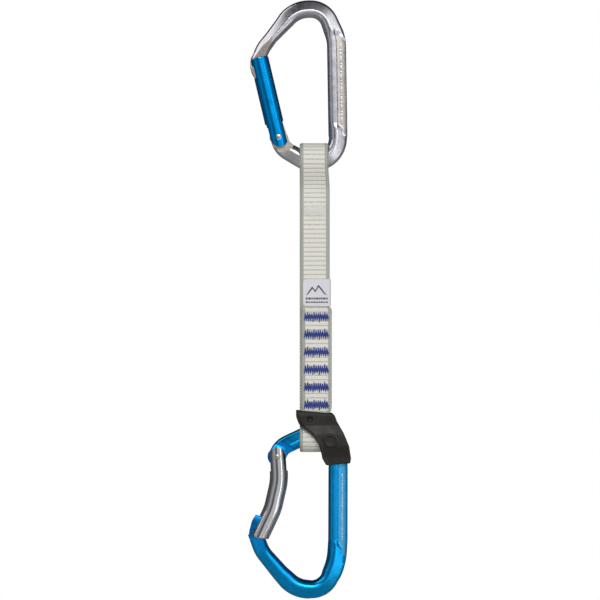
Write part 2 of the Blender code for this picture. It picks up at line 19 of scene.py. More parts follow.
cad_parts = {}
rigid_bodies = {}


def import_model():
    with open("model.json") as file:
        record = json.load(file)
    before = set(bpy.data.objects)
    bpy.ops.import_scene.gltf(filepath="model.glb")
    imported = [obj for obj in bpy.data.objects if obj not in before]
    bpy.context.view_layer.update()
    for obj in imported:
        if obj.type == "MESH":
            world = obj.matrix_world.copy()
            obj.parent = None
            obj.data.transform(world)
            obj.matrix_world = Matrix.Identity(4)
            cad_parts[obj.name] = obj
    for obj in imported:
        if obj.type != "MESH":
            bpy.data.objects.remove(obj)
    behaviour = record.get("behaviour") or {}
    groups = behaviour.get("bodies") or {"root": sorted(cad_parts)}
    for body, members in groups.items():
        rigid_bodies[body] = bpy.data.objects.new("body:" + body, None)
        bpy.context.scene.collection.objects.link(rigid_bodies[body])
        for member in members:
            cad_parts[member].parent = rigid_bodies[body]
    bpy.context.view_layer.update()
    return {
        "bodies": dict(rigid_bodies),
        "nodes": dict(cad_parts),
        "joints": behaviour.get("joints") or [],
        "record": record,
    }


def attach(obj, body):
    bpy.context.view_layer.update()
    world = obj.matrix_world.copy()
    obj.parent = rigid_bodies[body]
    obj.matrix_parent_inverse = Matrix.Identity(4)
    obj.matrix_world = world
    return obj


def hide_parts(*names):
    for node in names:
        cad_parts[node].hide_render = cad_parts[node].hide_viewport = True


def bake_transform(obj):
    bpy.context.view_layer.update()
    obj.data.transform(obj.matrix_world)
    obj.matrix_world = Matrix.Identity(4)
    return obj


LOG = logging.getLogger("quickdraw")
MM = 0.001
MIDDLE_X = 2.0                  # X of the sling's middle line, in millimetres
SIDE_VIEW = Matrix(((1, 0, 0, 0), (0, 0, -1, 0), (0, 1, 0, 0), (0, 0, 0, 1)))


# ---- workshop: the operators that every piece is made with -------------------------------------
def deselect() -> None:
    """Leave nothing selected, so that the next operator acts on its own piece alone."""
    if bpy.context.object is not None and bpy.context.object.mode != "OBJECT":
        bpy.ops.object.mode_set(mode="OBJECT")
    bpy.ops.object.select_all(action="DESELECT")


def take(item: bpy.types.Object) -> None:
    """Select one object and make it active.

    Args:
        item: the object to work on.
    """
    deselect()
    item.select_set(True)
    bpy.context.view_layer.objects.active = item


def edit(item: bpy.types.Object) -> None:
    """Open an object in edit mode with all of it selected.

    Args:
        item: the object to open.
    """
    take(item)
    bpy.ops.object.mode_set(mode="EDIT")
    bpy.ops.mesh.select_all(action="SELECT")


def close_up(item: bpy.types.Object) -> None:
    """Merge doubles, fill open ends and turn the faces outwards.

    Args:
        item: the object whose shell is closed.
    """
    edit(item)
    bpy.ops.mesh.remove_doubles(threshold=1e-6)
    bpy.ops.mesh.fill_holes(sides=0)
    bpy.ops.mesh.normals_make_consistent(inside=False)
    bpy.ops.object.mode_set(mode="OBJECT")


def place(item: bpy.types.Object, placement: Matrix) -> None:
    """Put a shape in its place and bake the place into its mesh.

    Args:
        item: the object to place.
        placement: where its own axes go.
    """
    item.matrix_world = placement
    take(item)
    bpy.ops.object.transform_apply(location=True, rotation=True, scale=True)


def apply(item: bpy.types.Object, kind: str, **settings: object) -> None:
    """Add a modifier and apply it at once.

    Args:
        item: the object that it works on.
        kind: the modifier's type.
        **settings: values for its fields.
    """
    take(item)
    modifier = item.modifiers.new(kind.lower(), kind)
    for name, value in settings.items():
        setattr(modifier, name, value)
    bpy.ops.object.modifier_apply(modifier=modifier.name)


def carve(item: bpy.types.Object, tool: bpy.types.Object, operation: str = "DIFFERENCE") -> None:
    """Cut with a tool, or keep what it covers. The cut takes on the tool's finish.

    Args:
        item: the object that is cut.
        tool: the cutter, which is removed afterwards.
        operation: DIFFERENCE, UNION or INTERSECT.
    """
    apply(item, "BOOLEAN", object=tool, operation=operation, solver="EXACT",
          material_mode="TRANSFER")
    bpy.data.objects.remove(tool)


def smooth(item: bpy.types.Object, angle: float = 32.0) -> None:
    """Shade smooth, with an edge wherever faces meet at more than an angle in degrees."""
    take(item)
    bpy.ops.object.shade_smooth_by_angle(angle=math.radians(angle))


def plate(name: str, outline: list, low: float, high: float, placement: Matrix = SIDE_VIEW,
          round_off: float = 0.0) -> bpy.types.Object:
    """Make a plate from a flat outline: a ring of corners, filled and extruded.

    Args:
        name: the object's name.
        outline: corners in millimetres, in order.
        low: where the plate starts along its own Z, in millimetres.
        high: where it ends.
        placement: where the outline's axes go. SIDE_VIEW lays it in the draw's side view, with
            its own Z towards the front.
        round_off: how far its edges are rounded, in millimetres.

    Returns:
        The plate.
    """
    deselect()
    bpy.ops.mesh.primitive_circle_add(vertices=len(outline), radius=1.0)
    item = bpy.context.object
    item.name = item.data.name = name
    for vertex, (across, along) in zip(item.data.vertices, outline):
        vertex.co = (across * MM, along * MM, low * MM)
    edit(item)
    bpy.ops.mesh.edge_face_add()
    bpy.ops.mesh.extrude_region_move(TRANSFORM_OT_translate={"value": (0, 0, (high - low) * MM)})
    bpy.ops.object.mode_set(mode="OBJECT")
    close_up(item)
    if round_off:
        apply(item, "BEVEL", width=round_off * MM, segments=3, limit_method="ANGLE",
              angle_limit=math.radians(35), use_clamp_overlap=True)
    place(item, placement)
    return item


def lathe(name: str, profile: list, placement: Matrix, sides: int = 48) -> bpy.types.Object:
    """Turn a closed round piece by extruding and resizing one ring along its axis.

    Args:
        name: the object's name.
        profile: (radius, height) pairs in millimetres, from its lowest ring to its highest.
        placement: where its own axes go; it is turned about its own Z.
        sides: how many corners the ring has.

    Returns:
        The turned piece.
    """
    deselect()
    radius, height = profile[0]
    bpy.ops.mesh.primitive_circle_add(vertices=sides, radius=radius * MM,
                                      location=(0, 0, height * MM))
    item = bpy.context.object
    item.name = item.data.name = name
    bpy.ops.object.transform_apply(location=True, rotation=True, scale=True)
    edit(item)
    for (before, start), (after, end) in zip(profile, profile[1:]):
        bpy.ops.mesh.extrude_region_move(
            TRANSFORM_OT_translate={"value": (0, 0, (end - start) * MM)})
        share = after / before
        bpy.ops.transform.resize(value=(share, share, 1), center_override=(0, 0, end * MM))
    bpy.ops.object.mode_set(mode="OBJECT")
    close_up(item)
    place(item, placement)
    return item


def duplicate(item: bpy.types.Object, name: str, placement: Matrix) -> bpy.types.Object:
    """Copy a piece with a mesh of its own.

    Args:
        item: the piece that is repeated.
        name: the copy's name.
        placement: where the copy goes.

    Returns:
        The copy.
    """
    copy = item.copy()
    copy.data = item.data.copy()
    copy.name = copy.data.name = name
    bpy.context.collection.objects.link(copy)
    place(copy, placement)
    return copy


def flat_cloth(name: str, size: tuple, cells: tuple, thick: float) -> bpy.types.Object:
    """Cut a rectangle of cloth that lies flat about the origin, and thicken it.

    Args:
        name: the object's name.
        size: across and along, in millimetres.
        cells: how many cells it has across and along.
        thick: its thickness in millimetres.

    Returns:
        The cloth.
    """
    deselect()
    bpy.ops.mesh.primitive_grid_add(x_subdivisions=cells[0], y_subdivisions=cells[1], size=1.0)
    item = bpy.context.object
    item.name = item.data.name = name
    edit(item)
    bpy.ops.transform.resize(value=(size[0] * MM, size[1] * MM, 1))
    bpy.ops.object.mode_set(mode="OBJECT")
    apply(item, "SOLIDIFY", thickness=thick * MM, offset=0.0)
    return item


def distances(points: list[Vector]) -> list[float]:
    """Measure how far along a line of points each one of them lies.

    Args:
        points: the line's points in order.

    Returns:
        One distance for each point, starting at 0.
    """
    passed = [0.0]
    for before, after in zip(points, points[1:]):
        passed.append(passed[-1] + (after - before).length)
    return passed


def wear(item: bpy.types.Object, *finishes: bpy.types.Material) -> None:
    """Give a piece its finishes in order. Every face starts with the first one.

    Args:
        item: the piece.
        *finishes: the materials.
    """
    item.data.materials.clear()
    for finish in finishes:
        item.data.materials.append(finish)


def join(first: bpy.types.Object, others: list[bpy.types.Object]) -> bpy.types.Object:
    """Join objects into the first one.

    Args:
        first: the object that the others are joined into.
        others: the objects that are used up.

    Returns:
        The first object.
    """
    take(first)
    for other in others:
        other.select_set(True)
    bpy.ops.object.join()
    return first


def fit(piece: bpy.types.Object, body: str, slot: str, *nodes: str) -> None:
    """Put a piece on the CAD body that it moves with.

    Args:
        piece: the finished piece.
        body: the CAD body.
        slot: the record's material slot; it is not used.
        *nodes: the CAD nodes that it takes the place of.
    """
    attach(piece, body)
    if nodes:
        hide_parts(*nodes)
    LOG.info("%s rides on %s", piece.name, body)


def ease(value: float) -> float:
    """Turn 0 to 1 into a smooth start and stop, and hold it at its ends."""
    value = min(1.0, max(0.0, value))
    return value * value * (3 - 2 * value)


# ---- routes: lines and arcs in the side view ---------------------------------------------------
@dataclass(frozen=True)
class Leg:
    """One straight run or arc of a route, in the side view."""

    start: Vector
    end: Vector
    start_half: float
    end_half: float
    centre: Vector | None = None
    turn: float = 0.0

    def length(self) -> float:
        """Length of the leg in millimetres."""
        if self.centre is None:
            return (self.end - self.start).length
        return abs(self.turn) * (self.start - self.centre).length

    def locate(self, point: Vector, before: float, after: float
               ) -> tuple[float, Vector, Vector] | None:
        """Find where a point lies beside this leg.

        Args:
            point: a place in the side view.
            before: how far the leg may run on before its start, as a share of its length.
            after: how far it may run on past its end.

        Returns:
            The share of the leg passed, the place on its centre line and the direction of
            travel there, or None where the point isn't beside the leg.
        """
        if self.centre is None:
            along = (self.end - self.start).normalized()
            share = (point - self.start).dot(along) / self.length()
            spot = self.start + along * share * self.length()
        else:
            arm = self.start - self.centre
            reach = point - self.centre
            angle = math.atan2(arm.x * reach.y - arm.y * reach.x, arm.dot(reach))
            share = angle / self.turn
            spot = self.centre + reach.normalized() * arm.length
            sense = math.copysign(1.0, self.turn)
            along = Vector((-reach.y, reach.x)).normalized() * sense
        if not -before <= share <= 1 + after:
            return None
        return min(1.0, max(0.0, share)), spot, along


@dataclass(frozen=True)
class Route:
    """A centre line of straight runs joined by arcs, with a half width all along it."""

    corners: tuple
    side: int = 1

    def legs(self) -> list[Leg]:
        """Work out the runs and arcs between the corners.

        Returns:
            The legs in order.
        """
        made: list[Leg] = []
        last, last_half = Vector(self.corners[0][:2]), self.corners[0][3]
        for i in range(1, len(self.corners)):
            x, z, radius, half = self.corners[i]
            corner = Vector((x, z))
            if radius == 0:
                made.append(Leg(last, corner, last_half, half))
                last, last_half = corner, half
                continue
            back = (Vector(self.corners[i - 1][:2]) - corner).normalized()
            ahead = (Vector(self.corners[i + 1][:2]) - corner).normalized()
            opening = back.angle(ahead) / 2
            centre = corner + (back + ahead).normalized() * (radius / math.sin(opening))
            start = corner + back * (radius / math.tan(opening))
            end = corner + ahead * (radius / math.tan(opening))
            arm, reach = start - centre, end - centre
            turn = math.atan2(arm.x * reach.y - arm.y * reach.x, arm.dot(reach))
            if (start - last).length > 0.01:
                made.append(Leg(last, start, last_half, half))
            made.append(Leg(start, end, half, half, centre, turn))
            last, last_half = end, half
        return made

    def locate(self, point: Vector, legs: list[Leg]) -> tuple[Vector, Vector, float]:
        """Find the place on the centre line that a point lies beside.

        Args:
            point: a place in the side view.
            legs: this route's legs.

        Returns:
            The place on the centre line, the unit normal on the route's outer side and the
            half width there.
        """
        best = None
        for leg in legs:
            found = leg.locate(point, 1.0 if leg is legs[0] else 0.002,
                               1.0 if leg is legs[-1] else 0.002)
            if found is None:
                continue
            share, spot, along = found
            away = (point - spot).length
            if best is None or away < best[0]:
                half = leg.start_half + (leg.end_half - leg.start_half) * share
                best = (away, spot, Vector((-along.y, along.x)) * self.side, half)
        if best is None:
            raise ValueError(f"no leg of the route lies beside {point}")
        return best[1:]

    def sweep(self, name: str, sides: int, step: float) -> bpy.types.Object:
        """Draw a thin round bar along the route: extruded on straight runs, spun on arcs.

        Args:
            name: the object's name.
            sides: how many corners its ring has.
            step: the longest distance between rings, in millimetres.

        Returns:
            The bar, closed at both ends.
        """
        legs = self.legs()
        first = legs[0]
        along = (first.end - first.start).normalized()
        facing = Vector((0, 0, 1)).rotation_difference(Vector((along.x, 0, along.y)))
        deselect()
        bpy.ops.mesh.primitive_circle_add(vertices=sides, radius=3 * MM,
                                          location=Vector((first.start.x, 0, first.start.y)) * MM)
        item = bpy.context.object
        item.name = item.data.name = name
        item.rotation_euler = facing.to_euler()
        bpy.ops.object.transform_apply(location=True, rotation=True, scale=True)
        edit(item)
        for leg in legs:
            count = max(1, math.ceil(leg.length() / step))
            if leg.centre is None:
                move = (leg.end - leg.start) / count * MM
                for _ in range(count):
                    bpy.ops.mesh.extrude_region_move(
                        TRANSFORM_OT_translate={"value": (move.x, 0, move.y)})
            else:
                bpy.ops.mesh.spin(steps=count, angle=abs(leg.turn),
                                  center=(leg.centre.x * MM, 0, leg.centre.y * MM),
                                  axis=(0, math.copysign(1, leg.turn), 0))
        bpy.ops.object.mode_set(mode="OBJECT")
        close_up(item)
        return item


# ---- finishes ----------------------------------------------------------------------------------
def linear(code: str) -> tuple[float, float, float, float]:
    """Turn an sRGB hex colour, such as "#1F6FB4", to linear red, green, blue and alpha."""
    values = [int(code[i:i + 2], 16) / 255 for i in (1, 3, 5)]
    return (*[v / 12.92 if v <= 0.04045 else ((v + 0.055) / 1.055) ** 2.4 for v in values], 1.0)


def per_metre(size: float) -> float:
    """Give the texture scale whose features are about a size in millimetres."""
    return 1.0 / (size * MM)


def band_scale(period: float, diagonal: bool = False) -> float:
    """Give the wave texture's scale whose bands repeat with a period.

    Args:
        period: from one band to the next, in millimetres.
        diagonal: True for bands that run across all three directions.

    Returns:
        The scale. The texture itself turns by 20, or by 10 on the diagonal, in each unit.
    """
    return math.tau / ((10 if diagonal else 20) * period * MM)


def add_node(tree: bpy.types.NodeTree, kind: str, inputs: dict | None = None,
             **settings: object) -> bpy.types.Node:
    """Add one node to a tree, set it and link it.

    Args:
        tree: the node tree.
        kind: the node's type, without its ShaderNode prefix.
        inputs: socket name or number, with a value or the output socket that feeds it.
        **settings: the node's own fields.

    Returns:
        The node.
    """
    made = tree.nodes.new("ShaderNode" + kind)
    for name, value in settings.items():
        setattr(made, name, value)
    for name, value in (inputs or {}).items():
        if isinstance(value, bpy.types.NodeSocket):
            tree.links.new(value, made.inputs[name])
        else:
            made.inputs[name].default_value = value
    return made


def start_finish(name: str) -> tuple[bpy.types.Material, bpy.types.NodeTree, bpy.types.Node]:
    """Open a new material.

    Args:
        name: the material's name.

    Returns:
        The material, its tree and its surface shader.
    """
    finish = bpy.data.materials.new(name)
    finish.use_nodes = True
    return finish, finish.node_tree, finish.node_tree.nodes["Principled BSDF"]


class Grain(Enum):
    """How a metal's surface was worked."""

    POLISHED = "tumbled and polished"
    MILLED = "milled with a fine cutter"
    BLASTED = "left as it came from the forging die"


@dataclass(frozen=True)
class Metal:
    """A metal surface: its tone, how bright it is and how it was worked.

    Polished metal shows soft waves and hairline scratches, a milled flat shows fine parallel
    tool lines, and the die leaves an even matt pebble.
    """

    name: str
    light: str
    dark: str
    roughness: float
    spread: float               # how much the roughness varies
    grain: Grain

    def build(self) -> bpy.types.Material:
        """Make the material, once for each name."""
        if self.name in bpy.data.materials:
            return bpy.data.materials[self.name]
        finish, tree, shader = start_finish(self.name)
        where = add_node(tree, "TexCoord").outputs["Object"]
        clouds = add_node(tree, "TexNoise", {"Vector": where, "Scale": per_metre(5.0),
                                             "Detail": 3.0, "Roughness": 0.5})
        tone = add_node(tree, "Mix", {0: clouds.outputs["Fac"], 6: linear(self.dark),
                                      7: linear(self.light)}, data_type="RGBA")
        tree.links.new(tone.outputs[2], shader.inputs["Base Color"])
        if self.grain is Grain.MILLED:
            # Tool lines are about 0.15 mm apart; they are drawn at 0.6 mm so that they show.
            lines = add_node(tree, "TexWave", {"Vector": where, "Scale": band_scale(0.6, True),
                                               "Distortion": 0.6, "Detail": 1.0},
                             wave_type="BANDS", bands_direction="DIAGONAL")
            relief, lift = lines.outputs["Fac"], 0.004
        elif self.grain is Grain.BLASTED:
            # Real pebble is about 0.1 mm; it is drawn at 0.35 mm so that it can be seen.
            pebble = add_node(tree, "TexNoise", {"Vector": where, "Scale": per_metre(0.35),
                                                 "Detail": 2.0, "Roughness": 0.6})
            relief, lift = pebble.outputs["Fac"], 0.06
        else:
            # Hairline scratches are about 0.02 mm wide; they are drawn at 0.7 mm.
            run = add_node(tree, "Mapping", {"Vector": where, "Rotation": (0.3, 0.2, 0.5),
                                             "Scale": (1.0, 1.0, 0.12)})
            scratch = add_node(tree, "TexNoise", {"Vector": run.outputs["Vector"],
                                                  "Scale": per_metre(0.7), "Detail": 2.0})
            relief, lift = scratch.outputs["Fac"], 0.0015
        patches = clouds.outputs["Fac"] if self.grain is Grain.POLISHED else relief
        rough = add_node(tree, "MapRange", {"Value": patches, 1: 0.3, 2: 0.7,
                                            3: self.roughness - self.spread,
                                            4: self.roughness + self.spread})
        bump = add_node(tree, "Bump", {"Height": relief, "Strength": 0.5, "Distance": lift * MM})
        tree.links.new(rough.outputs[0], shader.inputs["Roughness"])
        tree.links.new(bump.outputs["Normal"], shader.inputs["Normal"])
        shader.inputs["Metallic"].default_value = 1.0
        return finish


@dataclass(frozen=True)
class Nylon:
    """Woven nylon webbing: white ribs across it and grey-green woven edges.

    The pattern follows the cloth by its own attribute: x runs across the strap and y along it,
    both in millimetres. The ribs are 2.5 mm apart, as the relief in the mesh is. The grooves
    between them carry painted shade: a darker grey laid where the relief's grooves are.
    """

    name: str = "woven_nylon_webbing"
    white: str = "#F5F1E6"
    # painted shade: the darker grey laid in the grooves between the ribs
    groove_shade: str = "#B4B1A5"
    edge_light: str = "#D8DACF"
    edge_dark: str = "#A3A89D"
    rib: float = 2.5
    yarn: float = 0.62          # warp yarns; the real ones are 0.4 mm, coarser here to be seen
    edge_from: float = 6.15     # from the middle of the strap to its coloured edge

    def build(self) -> bpy.types.Material:
        """Make the material."""
        if self.name in bpy.data.materials:
            return bpy.data.materials[self.name]
        finish, tree, shader = start_finish(self.name)
        cloth = add_node(tree, "Attribute", attribute_name="cloth").outputs["Vector"]
        parts = add_node(tree, "SeparateXYZ", {0: cloth})
        across, along = parts.outputs["X"], parts.outputs["Y"]
        ribs = self.wave(tree, along, self.rib, 0.0)
        yarns = self.wave(tree, across, self.yarn, 0.25)
        wobble = add_node(tree, "TexNoise", {"Vector": cloth, "Scale": 0.9, "Detail": 3.0})
        # Painted shade: the groove colour is laid along the relief's grooves, one every rib.
        line = add_node(tree, "MapRange", {"Value": ribs, 1: 0.70, 2: 1.0, 3: 0.0, 4: 1.45})
        faint = add_node(tree, "Math", {0: line.outputs[0], 1: wobble.outputs["Fac"]},
                         operation="MULTIPLY")
        body = add_node(tree, "Mix", {0: faint.outputs[0], 6: linear(self.white),
                                      7: linear(self.groove_shade)}, data_type="RGBA")
        edge_cloth = self.edging(tree, across, along)
        away = add_node(tree, "Math", {0: across}, operation="ABSOLUTE")
        on_edge = add_node(tree, "MapRange", {"Value": away.outputs[0], 1: self.edge_from - 0.15,
                                              2: self.edge_from + 0.15})
        colour = add_node(tree, "Mix", {0: on_edge.outputs[0], 6: body.outputs[2],
                                        7: edge_cloth}, data_type="RGBA")
        tree.links.new(colour.outputs[2], shader.inputs["Base Color"])
        height = add_node(tree, "Math", {0: yarns, 1: wobble.outputs["Fac"]}, operation="ADD")
        bump = add_node(tree, "Bump", {"Height": height.outputs[0], "Strength": 0.45,
                                       "Distance": 0.09 * MM})
        tree.links.new(bump.outputs["Normal"], shader.inputs["Normal"])
        shader.inputs["Roughness"].default_value = 0.72
        shader.inputs["Sheen Weight"].default_value = 0.25
        shader.inputs["Sheen Roughness"].default_value = 0.4
        return finish

    def wave(self, tree: bpy.types.NodeTree, value: bpy.types.NodeSocket, pitch: float,
             shift: float) -> bpy.types.NodeSocket:
        """Make a cosine from 0 to 1 that repeats with a pitch.

        Args:
            tree: the material's tree.
            value: the place, in millimetres.
            pitch: the distance between crests.
            shift: share of a pitch that the crests are moved by.

        Returns:
            The wave's socket.
        """
        turns = add_node(tree, "Math", {0: value, 1: math.tau / pitch, 2: shift * math.tau},
                         operation="MULTIPLY_ADD")
        crest = add_node(tree, "Math", {0: turns.outputs[0]}, operation="COSINE")
        return add_node(tree, "Math", {0: crest.outputs[0], 1: 0.5, 2: 0.5},
                        operation="MULTIPLY_ADD").outputs[0]

    def edging(self, tree: bpy.types.NodeTree, across: bpy.types.NodeSocket,
               along: bpy.types.NodeSocket) -> bpy.types.NodeSocket:
        """Weave the edge: light and dark yarns that cross in a small slanting check.

        Args:
            tree: the material's tree.
            across: place across the strap.
            along: place along it.

        Returns:
            The edge's colour.
        """
        lean = add_node(tree, "Math", {0: across, 1: 1.3, 2: along}, operation="MULTIPLY_ADD")
        one = self.wave(tree, lean.outputs[0], 1.7, 0.0)
        two = self.wave(tree, across, 0.95, 0.3)
        both = add_node(tree, "Math", {0: one, 1: two}, operation="MULTIPLY")
        fleck = add_node(tree, "MapRange", {"Value": both.outputs[0], 1: 0.12, 2: 0.6})
        return add_node(tree, "Mix", {0: fleck.outputs[0], 6: linear(self.edge_dark),
                                      7: linear(self.edge_light)}, data_type="RGBA").outputs[2]


@dataclass(frozen=True)
class Thread:
    """Bonded nylon sewing thread: a soft sheen and the slant of its twist."""

    name: str
    light: str
    dark: str
    twist: float = 0.8          # one turn of the plies; the real one is 0.6 mm

    def build(self) -> bpy.types.Material:
        """Make the material, once for each name."""
        if self.name in bpy.data.materials:
            return bpy.data.materials[self.name]
        finish, tree, shader = start_finish(self.name)
        where = add_node(tree, "TexCoord").outputs["Object"]
        plies = add_node(tree, "TexWave", {"Vector": where, "Distortion": 1.5,
                                           "Scale": band_scale(self.twist, True)},
                         bands_direction="DIAGONAL")
        tone = add_node(tree, "Mix", {0: plies.outputs["Fac"], 6: linear(self.dark),
                                      7: linear(self.light)}, data_type="RGBA")
        bump = add_node(tree, "Bump", {"Height": plies.outputs["Fac"], "Strength": 0.5,
                                       "Distance": 0.05 * MM})
        tree.links.new(tone.outputs[2], shader.inputs["Base Color"])
        tree.links.new(bump.outputs["Normal"], shader.inputs["Normal"])
        shader.inputs["Roughness"].default_value = 0.5
        shader.inputs["Sheen Weight"].default_value = 0.3
        return finish


@dataclass(frozen=True)
class Satin:
    """A woven satin label: fine cross threads and a faint silky sheen."""

    name: str = "woven_satin_label"
    light: str = "#F0EEF2"
    dark: str = "#DCDAE2"
    pick: float = 0.5           # cross threads; the real ones are 0.15 mm apart

    def build(self) -> bpy.types.Material:
        """Make the material."""
        finish, tree, shader = start_finish(self.name)
        where = add_node(tree, "TexCoord").outputs["Object"]
        picks = add_node(tree, "TexWave", {"Vector": where, "Scale": band_scale(self.pick),
                                           "Distortion": 0.4}, bands_direction="Z")
        cloud = add_node(tree, "TexNoise", {"Vector": where, "Scale": per_metre(1.2)})
        blend = add_node(tree, "Math", {0: picks.outputs["Fac"], 1: cloud.outputs["Fac"]},
                         operation="MULTIPLY")
        tone = add_node(tree, "Mix", {0: blend.outputs[0], 6: linear(self.light),
                                      7: linear(self.dark)}, data_type="RGBA")
        bump = add_node(tree, "Bump", {"Height": picks.outputs["Fac"], "Strength": 0.3,
                                       "Distance": 0.03 * MM})
        tree.links.new(tone.outputs[2], shader.inputs["Base Color"])
        tree.links.new(bump.outputs["Normal"], shader.inputs["Normal"])
        shader.inputs["Roughness"].default_value = 0.5
        shader.inputs["Sheen Weight"].default_value = 0.2
        return finish


@dataclass(frozen=True)
class Rubber:
    """Moulded black-brown rubber: a fine matt skin with cloudy, slightly greasy patches."""

    name: str = "moulded_rubber"
    light: str = "#231E17"
    dark: str = "#0E0C09"

    def build(self) -> bpy.types.Material:
        """Make the material."""
        finish, tree, shader = start_finish(self.name)
        where = add_node(tree, "TexCoord").outputs["Object"]
        cloud = add_node(tree, "TexNoise", {"Vector": where, "Scale": per_metre(4.0),
                                            "Detail": 4.0})
        skin = add_node(tree, "TexNoise", {"Vector": where, "Scale": per_metre(0.5),
                                           "Detail": 3.0})
        tone = add_node(tree, "Mix", {0: cloud.outputs["Fac"], 6: linear(self.dark),
                                      7: linear(self.light)}, data_type="RGBA")
        rough = add_node(tree, "MapRange", {"Value": cloud.outputs["Fac"], 1: 0.3, 2: 0.7,
                                            3: 0.38, 4: 0.58})
        bump = add_node(tree, "Bump", {"Height": skin.outputs["Fac"], "Strength": 0.35,
                                       "Distance": 0.05 * MM})
        tree.links.new(tone.outputs[2], shader.inputs["Base Color"])
        tree.links.new(rough.outputs[0], shader.inputs["Roughness"])
        tree.links.new(bump.outputs["Normal"], shader.inputs["Normal"])
        return finish


@dataclass(frozen=True)
class Paper:
    """The studio floor's pale matt paper, with a faint mottle."""

    name: str = "pale_floor_paper"
    light: str = "#F2F1EE"
    dark: str = "#E9E8E4"

    def build(self) -> bpy.types.Material:
        """Make the material."""
        finish, tree, shader = start_finish(self.name)
        where = add_node(tree, "TexCoord").outputs["Object"]
        mottle = add_node(tree, "TexNoise", {"Vector": where, "Scale": per_metre(60.0)})
        tone = add_node(tree, "Mix", {0: mottle.outputs["Fac"], 6: linear(self.dark),
                                      7: linear(self.light)}, data_type="RGBA")
        tree.links.new(tone.outputs[2], shader.inputs["Base Color"])
        shader.inputs["Roughness"].default_value = 0.9
        return finish


Finish = Metal | Nylon | Thread | Satin | Rubber


# ---- carabiners --------------------------------------------------------------------------------
RING = 64                       # corners of the bar's ring

# Half of the bar's cross-section from its inner to its outer side, as (share of the half width,
# depth in millimetres): a round inner bead, a crease, and a facet that slopes to the outer side.
BEAD = ((-1.0, 0.0), (-0.985, 0.95), (-0.95, 1.85), (-0.885, 2.75), (-0.79, 3.55), (-0.65, 4.3),
        (-0.48, 4.82), (-0.30, 5.06), (-0.17, 5.1), (-0.11, 5.02), (0.16, 4.42), (0.42, 3.84),
        (0.66, 3.28), (0.80, 2.88), (0.92, 2.15), (0.985, 1.2), (1.0, 0.0))
# The same along the spine, where a marking pocket lies between a raised flat and the outer lip.
SPINE = ((-1.0, 0.0), (-0.99, 1.0), (-0.965, 2.0), (-0.915, 2.95), (-0.84, 3.7), (-0.73, 4.25),
         (-0.60, 4.58), (-0.48, 4.7), (-0.13, 4.7), (-0.06, 4.6), (0.04, 3.65), (0.12, 3.5),
         (0.72, 3.5), (0.81, 3.75), (0.88, 3.95), (0.975, 2.6), (1.0, 0.0))
STRAIGHT_STRETCHES = (8, 9, 11)     # stretches of both sections that aren't rounded


def fair(section: tuple) -> list[Vector]:
    """Put one more point in each stretch of a section, on a smooth curve where it is round.

    Args:
        section: (share, depth) pairs.

    Returns:
        The finer section.
    """
    points = [Vector(pair) for pair in section]
    finer = []
    for i, (here, after) in enumerate(zip(points, points[1:])):
        middle = (here + after) / 2
        if i not in STRAIGHT_STRETCHES and 0 < i < len(points) - 2:
            middle += (here + after - points[i - 1] - points[i + 2]) / 16
        finer += [here, middle]
    return finer + [points[-1]]


@dataclass(frozen=True)
class Pivot:
    """The gate's pivot, which the nose, the tang and the gate's ends are all turned about."""

    x: float
    z: float
    up: int                     # +1 if the gate runs up from its pivot, -1 if down
    tilt: float                 # degrees that the gate leans outward at its pivot

    def polar(self, radius: float, angle: float) -> tuple[float, float]:
        """Give a place about the pivot; the angle leans outward from straight along the gate."""
        turn = math.radians(angle)
        return (self.x - radius * math.sin(turn), self.z + self.up * radius * math.cos(turn))

    def sector(self, inner: float, outer: float, start: float, end: float) -> list:
        """Outline a part of a ring about the pivot.

        Args:
            inner: radius of its inner arc.
            outer: radius of its outer arc.
            start: angle that it starts at, in degrees.
            end: angle that it ends at.

        Returns:
            The corners in order.
        """
        count = 12
        turns = [start + (end - start) * i / count for i in range(count + 1)]
        return ([self.polar(inner, turn) for turn in turns]
                + [self.polar(outer, turn) for turn in reversed(turns)])

    def along(self) -> Vector:
        """Give the direction from the pivot along the gate."""
        turn = math.radians(self.tilt)
        return Vector((-math.sin(turn), 0, self.up * math.cos(turn)))

    def pin(self) -> Matrix:
        """Place a turned piece so that its own Z is the pivot's axis, towards the back."""
        spot = Matrix.Translation(Vector((self.x, 0, self.z)) * MM)
        return spot @ Matrix.Rotation(math.radians(-90), 4, "X")

    def bore(self) -> Matrix:
        """Place a turned piece so that its own Z runs from the pivot along the gate."""
        facing = Vector((0, 0, 1)).rotation_difference(self.along()).to_matrix().to_4x4()
        return Matrix.Translation(Vector((self.x, 0, self.z)) * MM) @ facing


@dataclass(frozen=True)
class Pocket:
    """The marking pocket on both faces of the spine, with slanting ends."""

    top_inner: float
    top_outer: float
    low_inner: float
    low_outer: float
    ramp: float = 3.0
    marks: tuple = (0.0, 0.0)   # the stretch of height that holds the plain marks

    def depth_at(self, share: float, height: float) -> float:
        """Say how much of the spine's section holds at a place.

        Args:
            share: place across the bar, -1 inner to 1 outer.
            height: Z in millimetres.

        Returns:
            0 where the bar is plain and 1 where the pocket is at full depth.
        """
        lean = min(1.0, max(0.0, (share + 0.1) / 1.0))
        top = self.top_inner + (self.top_outer - self.top_inner) * lean
        low = self.low_inner + (self.low_outer - self.low_inner) * lean
        return ease((top - height) / self.ramp) * ease((height - low) / self.ramp)


